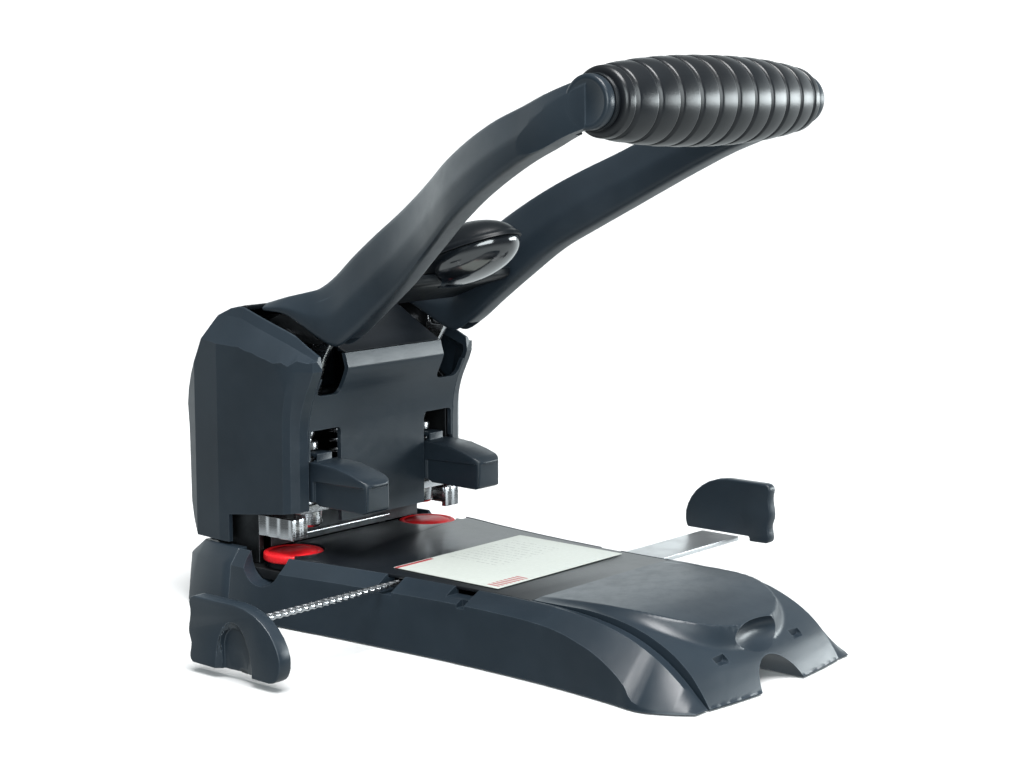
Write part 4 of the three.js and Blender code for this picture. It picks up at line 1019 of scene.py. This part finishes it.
for node, width in ROUNDING.items():
    refined(node, width)
for side_name, sign in SIDES:
    for stem, width in PAIR_ROUNDING.items():
        refined("%s_%s" % (stem, side_name), width)
    refined("head_cover_" + side_name, 0.8, COVER_FACET_ANGLE)
    handle_arm(side_name, sign)
    grip_collar(side_name, sign)
    return_spring(side_name)
    cutting_disc(side_name, sign)
    guide_channel(side_name, sign)
    punch(side_name, sign)
base_shell()
head_front_cover()
head_rear_cover()
stop_rail()
grip_sleeve()
dome_piece("dome_base", False)
dome_piece("dome_cap", True)
chip_tray()
left_blade()
twisted_rod()


# ---------------------------------------------------------------- floor, light and camera
def area_light(name, where, target, size, power):
    """A soft rectangular light turned to its target and not seen itself."""
    light = bpy.data.lights.new(name, "AREA")
    light.shape = "RECTANGLE"
    light.size, light.size_y = size
    light.energy = power
    light.color = LIGHT_TINT
    obj = bpy.data.objects.new(name, light)
    obj.location = where
    obj.rotation_euler = (Vector(target) - Vector(where)).to_track_quat("-Z", "Y").to_euler()
    obj.visible_camera = False
    bpy.context.scene.collection.objects.link(obj)


def studio():
    """The floor, the room's light, an overhead sun and two softboxes."""
    side = FLOOR_HALF / MM
    floor = prism("floor", [(-side, -side), (side, -side), (side, side), (-side, side)], "z", -2, 0)
    floor.data.materials.append(floor_finish("pale_floor"))
    # the floor casts no light back on the object
    floor.visible_diffuse = False
    floor.visible_glossy = False
    room()
    sun = bpy.data.lights.new("overhead", "SUN")
    sun.energy = SUN_STRENGTH
    sun.angle = math.radians(SUN_WIDTH)
    overhead = bpy.data.objects.new("overhead", sun)
    overhead.rotation_euler = [math.radians(a) for a in SUN_TURN]
    bpy.context.scene.collection.objects.link(overhead)
    for name, settings in SOFTBOXES.items():
        area_light(name, *settings)


def room():
    """Light from a room, bright behind the object and dim in front, which the camera sees as plain white."""
    world = bpy.data.worlds.new("studio")
    bpy.context.scene.world = world
    world.use_nodes = True
    tree = world.node_tree

    def ramp(source, *stops):
        """Tinted light levels over positions from 0 to 1."""
        node = tree.nodes.new("ShaderNodeValToRGB")
        tree.links.new(source, node.inputs["Fac"])
        elements = node.color_ramp.elements
        elements[0].position = stops[0][0]
        elements[-1].position = stops[-1][0]
        for position, _ in stops[1:-1]:
            elements.new(position)
        for element, (_, level) in zip(elements, stops):
            element.color = (*(level * tint for tint in LIGHT_TINT), 1)
        return node.outputs["Color"]

    place = tree.nodes.new("ShaderNodeTexCoord").outputs["Generated"]
    parts = tree.nodes.new("ShaderNodeSeparateXYZ")
    tree.links.new(place, parts.inputs["Vector"])
    height = tree.nodes.new("ShaderNodeMapRange")
    height.inputs["From Min"].default_value = -1
    tree.links.new(parts.outputs["Z"], height.inputs["Value"])
    turned = tree.nodes.new("ShaderNodeVectorMath")
    turned.operation = "DOT_PRODUCT"
    tree.links.new(place, turned.inputs[0])
    turned.inputs[1].default_value = BRIGHT_WALL
    behind = ramp(turned.outputs["Value"], (0.05, 0.0), (0.55, 1.0))
    near = ramp(height.outputs["Result"], (0.25, 0.5), (0.40, 0.09), (0.65, 0.09), (0.85, 0.25))
    far = ramp(height.outputs["Result"], (0.25, 0.5), (0.45, 1.0), (0.62, 1.0), (0.74, 0.12), (0.95, 0.25))
    both = tree.nodes.new("ShaderNodeMix")
    both.data_type = "RGBA"
    tree.links.new(behind, both.inputs["Factor"])
    tree.links.new(near, both.inputs[6])
    tree.links.new(far, both.inputs[7])
    seen = tree.nodes.new("ShaderNodeMix")
    seen.data_type = "RGBA"
    tree.links.new(tree.nodes.new("ShaderNodeLightPath").outputs["Is Camera Ray"], seen.inputs["Factor"])
    tree.links.new(both.outputs[2], seen.inputs[6])
    seen.inputs[7].default_value = (1, 1, 1, 1)
    background = tree.nodes["Background"]
    tree.links.new(seen.outputs[2], background.inputs["Color"])
    background.inputs["Strength"].default_value = ROOM_STRENGTH


def camera():
    """The photograph's camera."""
    data = bpy.data.cameras.new("camera")
    data.lens = CAMERA_LENS
    data.sensor_width = CAMERA_SENSOR
    obj = bpy.data.objects.new("camera", data)
    obj.location = CAMERA_PLACE
    obj.rotation_euler = [math.radians(a) for a in CAMERA_TURN]
    bpy.context.scene.collection.objects.link(obj)
    bpy.context.scene.camera = obj


studio()
camera()
bpy.context.scene.view_settings.view_transform = "Standard"
